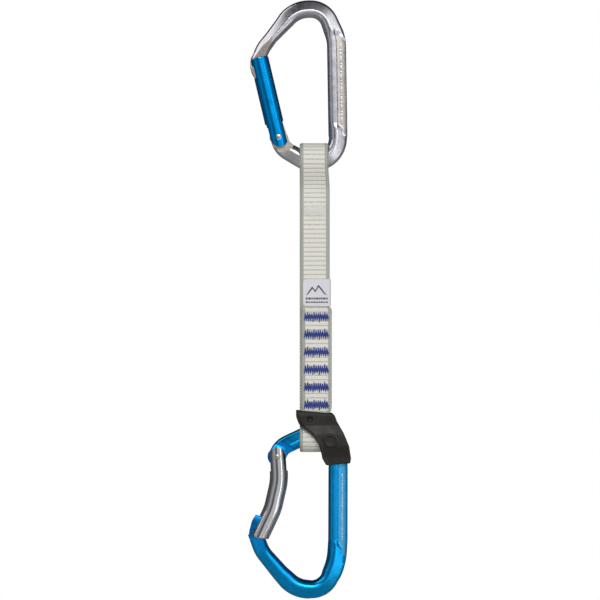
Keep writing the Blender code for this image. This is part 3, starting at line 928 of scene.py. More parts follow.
@dataclass(frozen=True)
class Forging:
    """A carabiner's hot-forged body: bar, nose key and tang."""

    name: str
    node: str
    pivot: Pivot
    route: Route
    pocket: Pocket
    reach: float                # from the pivot to the gate's end
    key_outline: tuple
    key_angle: float
    heel: float
    nose_run: tuple             # start of the nose's milled flat, and a point it runs towards
    nose_length: float
    key_head: float = 2.8
    key_neck: float = 1.5
    neck_length: float = 4.0
    tang: float = 2.0
    mill_floor: float = 1.92
    spine_from: float = 5.0     # X beyond which the bar may hold the pocket
    gap: float = 0.35
    mills: tuple = ((0.0, 0.0, 6.2), (2.7, -1.4, 6.7))
    tang_root: tuple = ((-45, 5.3), (-70, 4.7), (-96, 4.9), (-140, 6.5), (170, 7.0))

    def press(self, bar: bpy.types.Object) -> None:
        """Press the round bar into its changing section and mark the pocket's floor.

        Args:
            bar: the round bar swept along the route.
        """
        legs = self.route.legs()
        bead, spine = fair(BEAD), fair(SPINE)
        half_ring = RING // 2
        for vertex in bar.data.vertices:
            point = Vector((vertex.co.x, vertex.co.z)) / MM
            spot, outward, half = self.route.locate(point, legs)
            turn = math.atan2(vertex.co.y / MM, (point - spot).dot(outward))
            index = round(turn / math.tau * RING) % RING
            step = half_ring - index if index <= half_ring else index - half_ring
            share, depth = bead[step]
            if spot.x > self.spine_from:
                full = self.pocket.depth_at(spine[step].x, spot.y)
                share, depth = bead[step].lerp(spine[step], full)
            side = 1 if index <= half_ring else -1
            flat = spot + outward * (share * half)
            vertex.co = Vector((flat.x, side * depth, flat.y)) * MM
        for face in bar.data.polygons:
            centre = face.center / MM
            if centre.x < self.spine_from:
                continue
            point = Vector((centre.x, centre.z))
            spot, outward, half = self.route.locate(point, legs)
            share = (point - spot).dot(outward) / half
            deep = self.pocket.depth_at(share, centre.z) > 0.85
            if deep and 0.02 < share < 0.8 and 2.6 < abs(centre.y) < 3.8:
                face.material_index = 1

    def nose_flats(self) -> list[bpy.types.Object]:
        """Make the cutters that mill the nose flat, running out up the bar.

        Returns:
            One cutter for each face.
        """
        start, towards = Vector(self.nose_run[0]), Vector(self.nose_run[1])
        run = (towards - start).normalized()
        along = Vector((run.x, 0, run.y))
        cutters = []
        for side in (-1, 1):
            depth = Vector((0, side, 0))
            across = along.cross(depth)
            axes = Matrix((along, depth, across)).transposed().to_4x4()
            spot = Matrix.Translation(Vector((start.x, 0, start.y)) * MM)
            wedge = [(-9, 3.2), (0, 3.3), (self.nose_length, 5.25), (self.nose_length, 9), (-9, 9)]
            cutters.append(plate(f"{self.name}_flat_{side}", wedge, -12, 12, spot @ axes))
        return cutters

    def build_bar(self, finishes: list[bpy.types.Material]) -> bpy.types.Object:
        """Forge the bar, then mill it for the gate.

        Args:
            finishes: bright, pocket and milled finishes, in that order.

        Returns:
            The bar.
        """
        bar = self.route.sweep(self.name + "_forging", RING, 1.1)
        wear(bar, *finishes)
        self.press(bar)
        room = self.pivot.sector(self.reach / 2, self.reach + self.gap, self.key_angle - 16,
                                 self.key_angle + 18)
        cutters = [plate(self.name + "_room", room, -9, 9)] + self.nose_flats()
        for dx, dz, radius in self.mills:
            for side in (-1, 1):
                low, high = sorted((side * self.mill_floor, side * 9))
                spot = Matrix.Translation(Vector((dx, 0, self.pivot.up * dz)) * MM)
                cutters.append(lathe(f"{self.name}_mill", [(radius, low), (radius, high)],
                                     spot @ self.pivot.pin(), 96))
        for cutter in cutters:
            wear(cutter, finishes[2])
            carve(bar, cutter)
        smooth(bar, 26)
        return bar

    def build_key(self, milled: bpy.types.Material) -> bpy.types.Object:
        """Make the nose's key, a wide head on a narrow neck.

        Args:
            milled: its finish.

        Returns:
            The key.
        """
        tip = Vector(self.key_outline[-1]) - Vector((self.pivot.x, self.pivot.z))
        tip_angle = math.degrees(math.atan2(-tip.x, self.pivot.up * tip.y))
        outline = list(self.key_outline)
        for i in range(1, 9):
            outline.append(self.pivot.polar(
                tip.length, tip_angle + (self.key_angle - tip_angle) * i / 8))
        outline.append(self.pivot.polar(self.reach + 4, self.key_angle))
        key = plate(self.name + "_nose_key", outline, -self.key_head, self.key_head)
        neck = self.pivot.sector(self.reach - self.neck_length, self.reach + 1.5,
                                 self.key_angle - 8, self.key_angle + 24)
        carve(key, plate("neck_front", neck, self.key_neck, 9))
        carve(key, plate("neck_back", neck, -9, -self.key_neck))
        apply(key, "BEVEL", width=0.22 * MM, segments=2, limit_method="ANGLE",
              angle_limit=math.radians(40))
        wear(key, milled)
        smooth(key)
        return key

    def build_tang(self, milled: bpy.types.Material) -> bpy.types.Object:
        """Make the tang between the gate's cheeks, with the cam that the plunger rides on.

        Args:
            milled: its finish.

        Returns:
            The tang.
        """
        outline = [self.pivot.polar(self.heel, angle) for angle in range(110, 50, -8)]
        for opening in range(-16, 41, 4):
            rise = 2.0 * math.radians(max(opening, 0))
            outline.append(self.pivot.polar(5.6 + rise, self.pivot.tilt - opening))
        outline += [self.pivot.polar(radius, angle) for angle, radius in self.tang_root]
        tang = plate(self.name + "_tang", outline, -self.tang, self.tang)
        carve(tang, lathe("hole", [(1.7, -9), (1.7, 9)], self.pivot.pin(), 32))
        apply(tang, "BEVEL", width=0.2 * MM, segments=2, limit_method="ANGLE",
              angle_limit=math.radians(40))
        wear(tang, milled)
        smooth(tang)
        return tang

    def build_marks(self, finish: bpy.types.Material) -> bpy.types.Object:
        """Stamp a plain row of bars and dots in both pockets, with no lettering.

        Args:
            finish: the marks' finish.

        Returns:
            All the marks as one object.
        """
        start, end = self.pocket.marks
        legs = self.route.legs()
        lengths = (2.4, 0.9, 1.5, 2.9, 0.9, 1.9, 1.2)
        bar = plate("mark", [(-0.5, -0.7), (0.5, -0.7), (0.5, 0.7), (-0.5, 0.7)], -0.2, 0.2,
                    Matrix.Identity(4), 0.14)
        made, height, i = [], start, 0
        while height > end:
            length = lengths[i % len(lengths)]
            middle = height - length / 2
            spot, outward, half = self.route.locate(Vector((14.8, middle)), legs)
            flat = spot + outward * half * 0.42
            for side in (-1, 1):
                shift = Matrix.Translation(Vector((flat.x, side * 3.5, flat.y)) * MM)
                size = Matrix.Diagonal((1.15, length, 1.0, 1.0))
                made.append(duplicate(bar, "mark", shift @ SIDE_VIEW @ size))
            height -= length + 0.75
            i += 1
        bpy.data.objects.remove(bar)
        marks = join(made[0], made[1:])
        marks.name = marks.data.name = self.name + "_pocket_marks"
        close_up(marks)
        wear(marks, finish)
        smooth(marks)
        return marks


@dataclass(frozen=True)
class GateRod:
    """A carabiner's gate: a rod, forked at its pivot and slotted for the nose key."""

    name: str
    node: str
    pivot: Pivot
    route: Route
    reach: float
    bore_end: float
    key_angle: float
    head_start: float           # from the pivot to the tip of the nose key
    cheek: float                # half width of the fork
    cheek_shift: float          # how far its rounded end lies to the inner side of the pivot
    depth: float = 5.0
    fork_bottom: float = 8.1
    tang_room: float = 2.35

    def build(self, finish: bpy.types.Material) -> bpy.types.Object:
        """Sweep the rod, round its fork, and mill its slots.

        Args:
            finish: the gate's finish.

        Returns:
            The gate.
        """
        rod = self.route.sweep(self.name, RING, 1.3)
        legs = self.route.legs()
        for vertex in rod.data.vertices:
            point = Vector((vertex.co.x, vertex.co.z)) / MM
            spot, outward, half = self.route.locate(point, legs)
            turn = math.atan2(vertex.co.y / MM, (point - spot).dot(outward))
            flat = spot + outward * (half * math.cos(turn))
            vertex.co = Vector((flat.x, self.depth * math.sin(turn), flat.y)) * MM
        for cutter in self.cutters():
            carve(rod, cutter)
        apply(rod, "BEVEL", width=0.28 * MM, segments=2, limit_method="ANGLE",
              angle_limit=math.radians(42))
        wear(rod, finish)
        smooth(rod, 35)
        return rod

    def cutters(self) -> list[bpy.types.Object]:
        """Make the cutters for the fork, the bore, the rivet's hole and the key's slot."""
        pivot = self.pivot
        along = pivot.along()
        across = Vector((along.z, 0, -along.x))
        base = Vector((pivot.x, 0, pivot.z))

        def corner(reach: float, width: float) -> tuple[float, float]:
            """Give the place a way along the gate from its pivot, and a way across it."""
            spot = base + along * reach + across * width
            return (spot.x, spot.z)

        fork = [corner(*pair) for pair in ((-12, -12), (-12, 12), (self.fork_bottom, 12),
                                           (self.fork_bottom, -12))]
        rounding = []
        for i in range(25):
            turn = math.pi * i / 24
            rounding.append(corner(-self.cheek * 1.14 * math.sin(turn),
                                   self.cheek_shift - self.cheek * math.cos(turn)))
        clip = ([corner(6.3, self.cheek_shift - self.cheek - 0.1)] + rounding
                + [corner(6.3, self.cheek_shift + self.cheek + 0.1), corner(6.3, 12),
                   corner(-14, 12), corner(-14, -12), corner(6.3, -12)])
        gap, low = 0.35, self.key_angle - 0.5
        high = self.key_angle + 26
        neck_start = self.reach - 4.0
        return [
            plate("clip", clip, -9, 9),
            plate("fork", fork, -self.tang_room, self.tang_room),
            plate("end", pivot.sector(self.reach, self.reach + 7, self.key_angle - 18, high),
                  -9, 9),
            lathe("bore", [(2.2, self.fork_bottom - 2), (2.2, self.bore_end)], pivot.bore(), 32),
            lathe("hole", [(1.62, -9), (1.62, 9)], pivot.pin(), 40),
            plate("key_head", pivot.sector(self.head_start - gap, neck_start + gap, low, high),
                  -2.8 - gap, 2.8 + gap),
            plate("key_neck", pivot.sector(neck_start, self.reach + 3, low, high),
                  -1.5 - gap, 1.5 + gap),
        ]


@dataclass(frozen=True)
class Rivet:
    """The headed rivet that a gate turns on."""

    name: str
    node: str
    pivot: Pivot
    shank: float = 1.4
    head: float = 1.56
    face: float = 5.05
    crown: float = 0.38         # how far the dome stands out

    def build(self, finish: bpy.types.Material) -> bpy.types.Object:
        """Turn the rivet with a shallow dome at each end.

        Args:
            finish: the rivet's finish.

        Returns:
            The rivet.
        """
        turns = [math.radians(angle) for angle in (0, 15, 32, 50, 68, 82)]
        dome = [(self.head * math.cos(turn), self.face + self.crown * math.sin(turn))
                for turn in turns]
        half = [(self.shank, self.face - 1.2), (self.head, self.face - 1.0),
                (self.head, self.face - 0.2)] + dome
        profile = [(r, -h) for r, h in reversed(half)] + half
        rivet = lathe(self.name, profile, self.pivot.pin(), 32)
        wear(rivet, finish)
        smooth(rivet, 40)
        return rivet


@dataclass(frozen=True)
class Carabiner:
    """A whole carabiner: its forging, gate, rivet, spring and plunger."""

    forging: Forging
    gate: GateRod
    rivet: Rivet
    body: str
    gate_body: str
    spring_node: str
    plunger_node: str
    bright: Finish
    pocket: Finish
    milled: Finish
    marks: Finish
    rod: Finish
    steel: Finish
    body_slot: str
    gate_slot: str

    def build(self, frame: dict) -> None:
        """Make every piece, and put each on its CAD body.
        """
        milled = self.milled.build()
        bar = self.forging.build_bar([self.bright.build(), self.pocket.build(), milled])
        fit(bar, self.body, self.body_slot, self.forging.node)
        for piece in (self.forging.build_key(milled), self.forging.build_tang(milled),
                      self.forging.build_marks(self.marks.build())):
            fit(piece, self.body, self.body_slot)
        fit(self.gate.build(self.rod.build()), self.gate_body, self.gate_slot, self.gate.node)
        steel = self.steel.build()
        fit(self.rivet.build(steel), self.body, "steel_rivet", self.rivet.node)
        for node in (self.spring_node, self.plunger_node):
            wear(frame["nodes"][node], steel)
            LOG.info("%s keeps its CAD shape and gets %s", node, steel.name)


# ---- sling -------------------------------------------------------------------------------------
@dataclass(frozen=True)
class Eye:
    """One end loop of the sling, in its side view (y, z)."""

    z: float
    radius: float               # to the middle of the webbing
    run: float                  # height over which the two sides come together
    half: float                 # half of the distance between the sides where they meet

    def side(self, height: float) -> float:
        """Give half of the eye's width at a height from its axis."""
        return self.half + (self.radius - self.half) * (
            1 + math.cos(math.pi * height / self.run)) / 2

    def arc(self, start: int) -> list[tuple[float, float]]:
        """Go half way round the eye, from 0 for its back or 1 for its front."""
        turns = [math.pi * (start + i / 90) for i in range(90)]
        return [(self.radius * math.cos(turn), self.z + self.radius * math.sin(turn))
                for turn in turns]


@dataclass(frozen=True)
class Strap:
    """The webbing: one strip, lapped on itself and laid round both carabiners."""

    width: float = 16.0
    thick: float = 1.62
    edging: float = 6.15        # from the middle line to the coloured edge
    rolled: float = 7.0         # from the middle line to where the edge rounds off
    upper: Eye = Eye(-77.9, 7.975, 18.0, 0.875)
    lower: Eye = Eye(-231.6, 7.175, 15.6, 1.8)
    lap_top: float = -159.8
    lap_full: float = -164.5
    tail: float = -213.0
    rib: float = 2.5
    rib_depth: float = 0.24
    tack_heights: tuple = tuple(-165.0 - 9.7 * i for i in range(6))

    def line(self) -> list[tuple[float, float]]:
        """Lay the strip's middle line in the side view, from the lap's top end to its tail.

        Returns:
            (y, z) points about 0.2 mm apart.
        """
        def lapped(height: float) -> float:
            """Say how fully the lap's outer layer is there at a height, from 0 to 1."""
            return ease((self.lap_top + 0.3 - height) / (self.lap_top + 0.3 - self.lap_full))

        def steps(start: float, end: float) -> list[float]:
            """Space heights about 0.2 mm apart, leaving out the end."""
            count = max(2, round(abs(end - start) / 0.2))
            return [start + (end - start) * i / count for i in range(count)]

        low_join = self.lower.z + self.lower.run
        high_join = self.upper.z - self.upper.run
        points = [(-2.68 + 0.88 * lapped(z), z) for z in steps(self.lap_top, low_join)]
        points += [(-self.lower.side(h), self.lower.z + h) for h in steps(self.lower.run, 0)]
        points += self.lower.arc(1)
        points += [(self.lower.side(h), self.lower.z + h) for h in steps(0, self.lower.run)]
        points += [(0.875 + 0.925 * lapped(z), z) for z in steps(low_join, high_join)]
        points += [(self.upper.side(h), self.upper.z - h) for h in steps(self.upper.run, 0)]
        points += self.upper.arc(0)
        points += [(-self.upper.side(h), self.upper.z - h) for h in steps(0, self.upper.run)]
        points += [(-0.875 + 0.875 * lapped(z), z) for z in steps(high_join, self.tail)]
        return points

    def edges(self, z: float, top_ply: bool) -> tuple[float, float]:
        """Give the strap's left and right edge at a height.

        Args:
            z: the height.
            top_ply: True on the lap's outer layer, which is sewn a little to the right.

        Returns:
            X of the left and the right edge.
        """
        left, right = MIDDLE_X - self.width / 2, MIDDLE_X + self.width / 2
        if top_ply:
            lean = ease((self.lap_top + 2 - z) / 4) * ease((z + 222) / 8)
            left, right = left + 0.9 * lean, right + 1.2 * lean
        right -= 0.8 * ease((z + 95) / 14) + 3.0 * ease((-216 - z) / 7)
        return left, right

    def build(self, finish: bpy.types.Material) -> tuple[bpy.types.Object, float]:
        """Cut a flat strip to its real length, give it its thickness and lay it on its line.

        Args:
            finish: the webbing's finish.

        Returns:
            The webbing and its cut length in metres.
        """
        points = [Vector(point) for point in self.line()]
        travelled = distances(points)
        length = travelled[-1]
        strap = flat_cloth("webbing_strap", (self.width, length),
                           (26, round(length / self.rib * 6)), self.thick)
        cloth = strap.data.attributes.new("cloth", "FLOAT_VECTOR", "POINT")
        top_ply_end = (self.lap_top - self.lower.z) + 12
        place_in_line = 0
        order = sorted(range(len(strap.data.vertices)),
                       key=lambda i: strap.data.vertices[i].co.y)
        for i in order:
            vertex = strap.data.vertices[i]
            across = vertex.co.x / MM
            along = vertex.co.y / MM + length / 2
            while place_in_line < len(points) - 2 and travelled[place_in_line + 1] < along:
                place_in_line += 1
            start, end = points[place_in_line], points[place_in_line + 1]
            share = (along - travelled[place_in_line]) / (end - start).length
            spot = start.lerp(end, min(1.0, max(0.0, share)))
            back = points[max(place_in_line - 6, 0)]
            ahead = points[min(place_in_line + 7, len(points) - 1)]
            run = (ahead - back).normalized()
            outward = Vector((run.y, -run.x))
            lapped = along < top_ply_end
            lift = self.relief(across, along, spot.y, lapped) * math.copysign(1, vertex.co.z)
            left, right = self.edges(spot.y, lapped)
            sway = 0.35 * math.sin(math.tau * along / self.rib) if abs(across) > 7.9 else 0.0
            x = (left + right) / 2 + (across + math.copysign(sway, across)) * (right - left) / 16
            flat = spot + outward * lift
            vertex.co = Vector((x, flat.x, flat.y)) * MM
            cloth.data[i].vector = (across, along, 0.0)
        close_up(strap)
        wear(strap, finish)
        smooth(strap, 60)
        return strap, length * MM

    def relief(self, across: float, along: float, z: float, lapped: bool) -> float:
        """Give half of the webbing's thickness at a place.

        Args:
            across: from the strip's middle line.
            along: from the lap's top end.
            z: the height there.
            lapped: True on the lap's outer layer, which is pressed smooth by its stitching.

        Returns:
            Half of the thickness in millimetres.
        """
        half = self.thick / 2
        place_in_rib = (along / self.rib) % 1.0
        near_groove = min(place_in_rib, 1 - place_in_rib)
        depth = self.rib_depth * (0.35 if lapped else 1.0)
        half += 0.05 - depth * math.exp(-((near_groove / 0.13) ** 2))
        if abs(across) > self.edging:
            half = self.thick / 2 - 0.02 + 0.07 * math.sin(math.tau * along / (self.rib / 2))
        if abs(across) > self.rolled:
            half *= math.sqrt(max(0.0, 1 - (abs(across) - self.rolled) ** 2 * 0.9))
        if lapped:
            for tack in self.tack_heights:
                half -= 0.12 * math.exp(-(((z - tack) / 1.9) ** 2))
            half *= 0.75 + 0.25 * min(1.0, along / 0.9)
        return half


@dataclass(frozen=True)
class BarTack:
    """One row of dense zigzag stitches on both faces of the sling."""

    name: str
    node: str
    low: float
    high: float
    face: float                 # half thickness of the layers under it
    left: float = -3.7
    right: float = 9.6
    pitch: float = 1.2
    thread: float = 0.27

    def stitches(self, side: int, layer: int) -> list[Vector]:
        """Run the thread up and down across the sling, with uneven stitch ends.

        Args:
            side: -1 for the front and +1 for the back.
            layer: 0 for the long stitches and 1 for the short ones sewn over them.

        Returns:
            The thread's points, in millimetres.
        """
        points = []
        middle, reach = (self.low + self.high) / 2, (self.high - self.low) / 2
        count = round((self.right - self.left) / self.pitch * 2)
        depth = side * (self.face + 0.1 + 0.2 * layer)
        for i in range(count + 1):
            uneven = 0.5 * math.sin(i * 2.4 + layer * 1.7) + 0.5 * math.sin(i * 5.1 + side)
            tall = reach * (1.25 + 0.45 * uneven) if layer == 0 else reach * (0.62 + 0.15 * uneven)
            x = self.left + (self.right - self.left) * (i + 0.5 * layer) / (count + 0.5)
            z = middle + tall * (1 if i % 2 else -1)
            sunk = side * (self.face - 0.28)
            points.append(Vector((x, sunk, z)))
            points.append(Vector((x + 0.06, depth, z + (-0.45 if i % 2 else 0.45))))
            if i < count:
                points.append(Vector((x + self.pitch * 0.42, depth, middle - (z - middle) * 0.72)))
        return points

    def build(self, finish: bpy.types.Material) -> bpy.types.Object:
        """Lay the thread as a curve, turn it to a mesh and place it.

        Args:
            finish: the thread's finish.

        Returns:
            The bar tack.
        """
        curve = bpy.data.curves.new(self.name, "CURVE")
        curve.dimensions = "3D"
        curve.bevel_depth = self.thread * MM
        curve.bevel_resolution = 1
        curve.use_fill_caps = True
        for side in (-1, 1):
            for layer in (0, 1):
                points = self.stitches(side, layer)
                spline = curve.splines.new("POLY")
                spline.points.add(len(points) - 1)
                for point, spot in zip(spline.points, points):
                    point.co = (*(spot * MM), 1.0)
        tack = bpy.data.objects.new(self.name, curve)
        bpy.context.scene.collection.objects.link(tack)
        take(tack)
        bpy.ops.object.convert(target="MESH")
        tack = bpy.context.object
        wear(tack, finish)
        smooth(tack, 50)
        return tack


@dataclass(frozen=True)
class Label:
    """The woven label, folded round the sling's right edge, with a plain line of hills."""

    left: float = -4.4
    fold_x: float = 10.0
    fold_reach: float = 0.8
    half: float = 2.0
    low: float = -159.1
    high: float = -144.2
    cloth: float = 0.24
    corner: float = 2.0

    def build(self, finish: bpy.types.Material) -> tuple[bpy.types.Object, float]:
        """Cut the label flat, thicken it and fold it round the sling.

        Args:
            finish: the label's finish.

        Returns:
            The label and its flat length in metres.
        """
        bend = [Vector((self.left, -self.half))]
        bend += [Vector((self.fold_x + self.fold_reach * math.cos(math.radians(a)),
                         self.half * math.sin(math.radians(a)))) for a in range(-90, 91, 10)]
        bend.append(Vector((self.left, self.half)))
        travelled = distances(bend)
        length, height = travelled[-1], self.high - self.low
        label = flat_cloth("folded_label", (length, height), (90, 34), self.cloth)
        for vertex in label.data.vertices:
            along = vertex.co.x / MM + length / 2
            share = vertex.co.y / MM / height
            from_end = min(along, length - along)
            inset = 0.0
            if from_end < self.corner:
                inset = self.corner - math.sqrt(self.corner ** 2 - (self.corner - from_end) ** 2)
            z = (self.low + self.high) / 2 + share * (height - 2 * inset)
            i = max(k for k in range(len(bend) - 1) if travelled[k] <= along + 1e-9)
            start, end = bend[i], bend[i + 1]
            run = (end - start).normalized()
            wave = 0.05 * math.sin(along * 0.9) * math.sin(z * 0.7)
            spot = start + run * (along - travelled[i])
            spot += Vector((run.y, -run.x)) * (vertex.co.z / MM + wave)
            vertex.co = Vector((spot.x, spot.y, z)) * MM
        close_up(label)
        wear(label, finish)
        smooth(label, 50)
        return label, length * MM

    def print_marks(self, finish: bpy.types.Material) -> bpy.types.Object:
        """Embroider a plain line of hills over two rows of dashes, with no lettering.

        Args:
            finish: the thread's finish.

        Returns:
            The marks as one object.
        """
        ridge = [(-2.7, -153.0), (0.6, -148.2), (2.3, -150.4), (4.1, -147.2), (8.6, -153.0)]
        lower = [(7.3, -152.4), (4.1, -148.5), (2.4, -151.5), (0.7, -149.4), (-1.5, -152.4)]
        face = self.half + self.cloth / 2 - 0.03
        made = [plate("hills", ridge + lower, face, face + 0.16, round_off=0.05)]
        for row, (z, size) in enumerate(((-154.9, 0.55), (-156.9, 0.42))):
            lengths = (0.9, 1.3, 0.7)
            kinds = [plate("dash", [(0, -size), (long, -size), (long, size), (0, size)], face,
                           face + 0.14, round_off=0.05) for long in lengths]
            x = -2.9
            for i in range(row, row + 9):
                spot = Matrix.Translation(Vector((x, 0, z)) * MM)
                made.append(duplicate(kinds[i % 3], "dash", spot))
                x += lengths[i % 3] + 0.42
            for kind in kinds:
                bpy.data.objects.remove(kind)
        marks = join(made[0], made[1:])
        marks.name = marks.data.name = "label_hill_line"
        wear(marks, finish)
        return marks


# ---- keeper ------------------------------------------------------------------------------------
@dataclass(frozen=True)
class Keeper:
    """The moulded rubber keeper that holds the lower carabiner in line with the sling."""

    node: str = "keeper"
    voxel: float = 0.42
    inner_edge: tuple = ((8.3, -246.7), (6.1, -242.9), (5.5, -239.6), (3.9, -234.6),
                         (1.1, -230.7), (-2.8, -227.4), (-5.5, -225.8), (-7.2, -223.0),
                         (-8.3, -219.7), (-8.3, -216.4))
    rim_width: float = 1.5
    rim_height: float = 0.65
    dimple: tuple = (-0.6, -221.4, 1.9, 1.3)        # x, z, radius, depth
    ring: tuple = (10.8, -232.9, 3.0, 0.6)          # x, z, radius, height
    smoothing: int = 7
    bend_from: float = -222.5
    bend_to: float = -240.5

    def build(self, frame: dict) -> None:
        """Mould the keeper where it sits between the sling and the lower carabiner.
        """
        keeper = self.mould(frame["nodes"][self.node], Rubber().build())
        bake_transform(keeper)
        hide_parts(self.node)
        LOG.info("%s bends between the sling and the lower carabiner", keeper.name)

    def mould(self, source: bpy.types.Object, finish: bpy.types.Material) -> bpy.types.Object:
        """Mould a rounded copy of the CAD keeper, with its rim, its dimple and a plain ring.

        Args:
            source: the CAD keeper, which is left as it is.
            finish: the keeper's rubber.

        Returns:
            The keeper.
        """
        keeper = source.copy()
        keeper.data = source.data.copy()
        keeper.parent = None
        for key in list(keeper.keys()):
            del keeper[key]
        bpy.context.scene.collection.objects.link(keeper)
        keeper.name = keeper.data.name = "rubber_keeper"
        edit(keeper)
        bpy.ops.mesh.remove_doubles(threshold=1e-6)
        bpy.ops.object.mode_set(mode="OBJECT")
        keeper.data.remesh_voxel_size = self.voxel * MM
        take(keeper)
        bpy.ops.object.voxel_remesh()
        apply(keeper, "SMOOTH", factor=0.6, iterations=self.smoothing)
        self.emboss(keeper)
        apply(keeper, "SMOOTH", factor=0.5, iterations=1)
        wear(keeper, finish)
        for face in keeper.data.polygons:
            face.material_index = 0
        smooth(keeper, 80)
        return keeper

    def emboss(self, keeper: bpy.types.Object) -> None:
        """Raise the rim and the ring, and press the dimple, on both faces.

        Args:
            keeper: the smooth keeper.
        """
        edge = [Vector(point) for point in self.inner_edge]
        dx, dz, dimple_radius, dimple_depth = self.dimple
        rx, rz, ring_radius, ring_height = self.ring
        # Normals are read before any vertex moves, because each move makes them all stale.
        facings = [vertex.normal.y * math.copysign(1, vertex.co.y)
                   for vertex in keeper.data.vertices]
        for vertex, facing in zip(keeper.data.vertices, facings):
            x, y, z = vertex.co / MM
            if facing < 0.25:
                continue
            point = Vector((x, z))
            lift = 0.0
            near = min(self.to_stretch(point, a, b) for a, b in zip(edge, edge[1:]))
            if near < self.rim_width:
                lift += self.rim_height * ease((self.rim_width - near) / 0.5)
            away = (point - Vector((dx, dz))).length
            if away < dimple_radius:
                lift -= dimple_depth * ease((dimple_radius - away) / 1.1)
            off = abs(math.hypot((x - rx) / 1.12, z - rz) - ring_radius)
            if off < 0.8:
                lift += ring_height * ease((0.8 - off) / 0.45)
            vertex.co.y += math.copysign(lift, y) * MM * ease(facing * 1.6)

    def to_stretch(self, point: Vector, start: Vector, end: Vector) -> float:
        """Give the distance from a point to a straight stretch of the rim."""
        along = end - start
        share = min(1.0, max(0.0, (point - start).dot(along) / along.length_squared))
        return (point - start - along * share).length


# ---- sling as a whole --------------------------------------------------------------------------
@dataclass(frozen=True)
class Sling:
    """The sewn sling: webbing, bar tacks and label."""

    strap: Strap = Strap()
    label: Label = Label()
    white_tack: BarTack = BarTack("white_tack_stitches", "bar_tack_white", -109.2, -103.0, 1.75,
                                  left=-3.4, right=7.6, pitch=1.25)
    twist_from: float = -111.5
    twist_to: float = -141.5
    tack_reach: float = 1.9     # half of a blue tack's height
    lap_half: float = 2.72      # half of the thickness under the blue tacks

    def build(self) -> None:
        """Make every piece of the sling, and put each but the webbing on its CAD body."""
        webbing, length = self.strap.build(Nylon().build())
        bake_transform(webbing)
        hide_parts("sling_upper", "sling_lower")
        LOG.info("webbing_strap was cut %.0f mm long", length / MM)
        tack = self.white_tack.build(Thread("white_nylon_thread", "#FDFCF7", "#E4E2D8").build())
        fit(tack, "sling_top", "white_thread", self.white_tack.node)
        blue = Thread("blue_nylon_thread", "#2C50B4", "#16276E").build()
        first = self.strap.tack_heights[0]
        tacks = [BarTack("blue_tack_stitches_1", "bar_tack_blue_1", first - self.tack_reach,
                         first + self.tack_reach, self.lap_half).build(blue)]
        for i, height in enumerate(self.strap.tack_heights[1:], 2):
            tacks.append(duplicate(tacks[0], f"blue_tack_stitches_{i}",
                                   Matrix.Translation((0, 0, (height - first) * MM))))
        for i, tack in enumerate(tacks, 1):
            fit(tack, "sling_bottom", "blue_thread", f"bar_tack_blue_{i}")
        label, flat_length = self.label.build(Satin().build())
        fit(label, "sling_bottom", "woven_label", "label")
        marks = self.label.print_marks(Thread("dark_label_thread", "#3A3D4A", "#22242E").build())
        fit(marks, "sling_bottom", "woven_label")


# ---- studio ------------------------------------------------------------------------------------
@dataclass(frozen=True)
class Softbox:
    """One soft light: where it stands, its size and how bright its face is."""

    name: str
    spot: tuple
    size: tuple
    watts: float


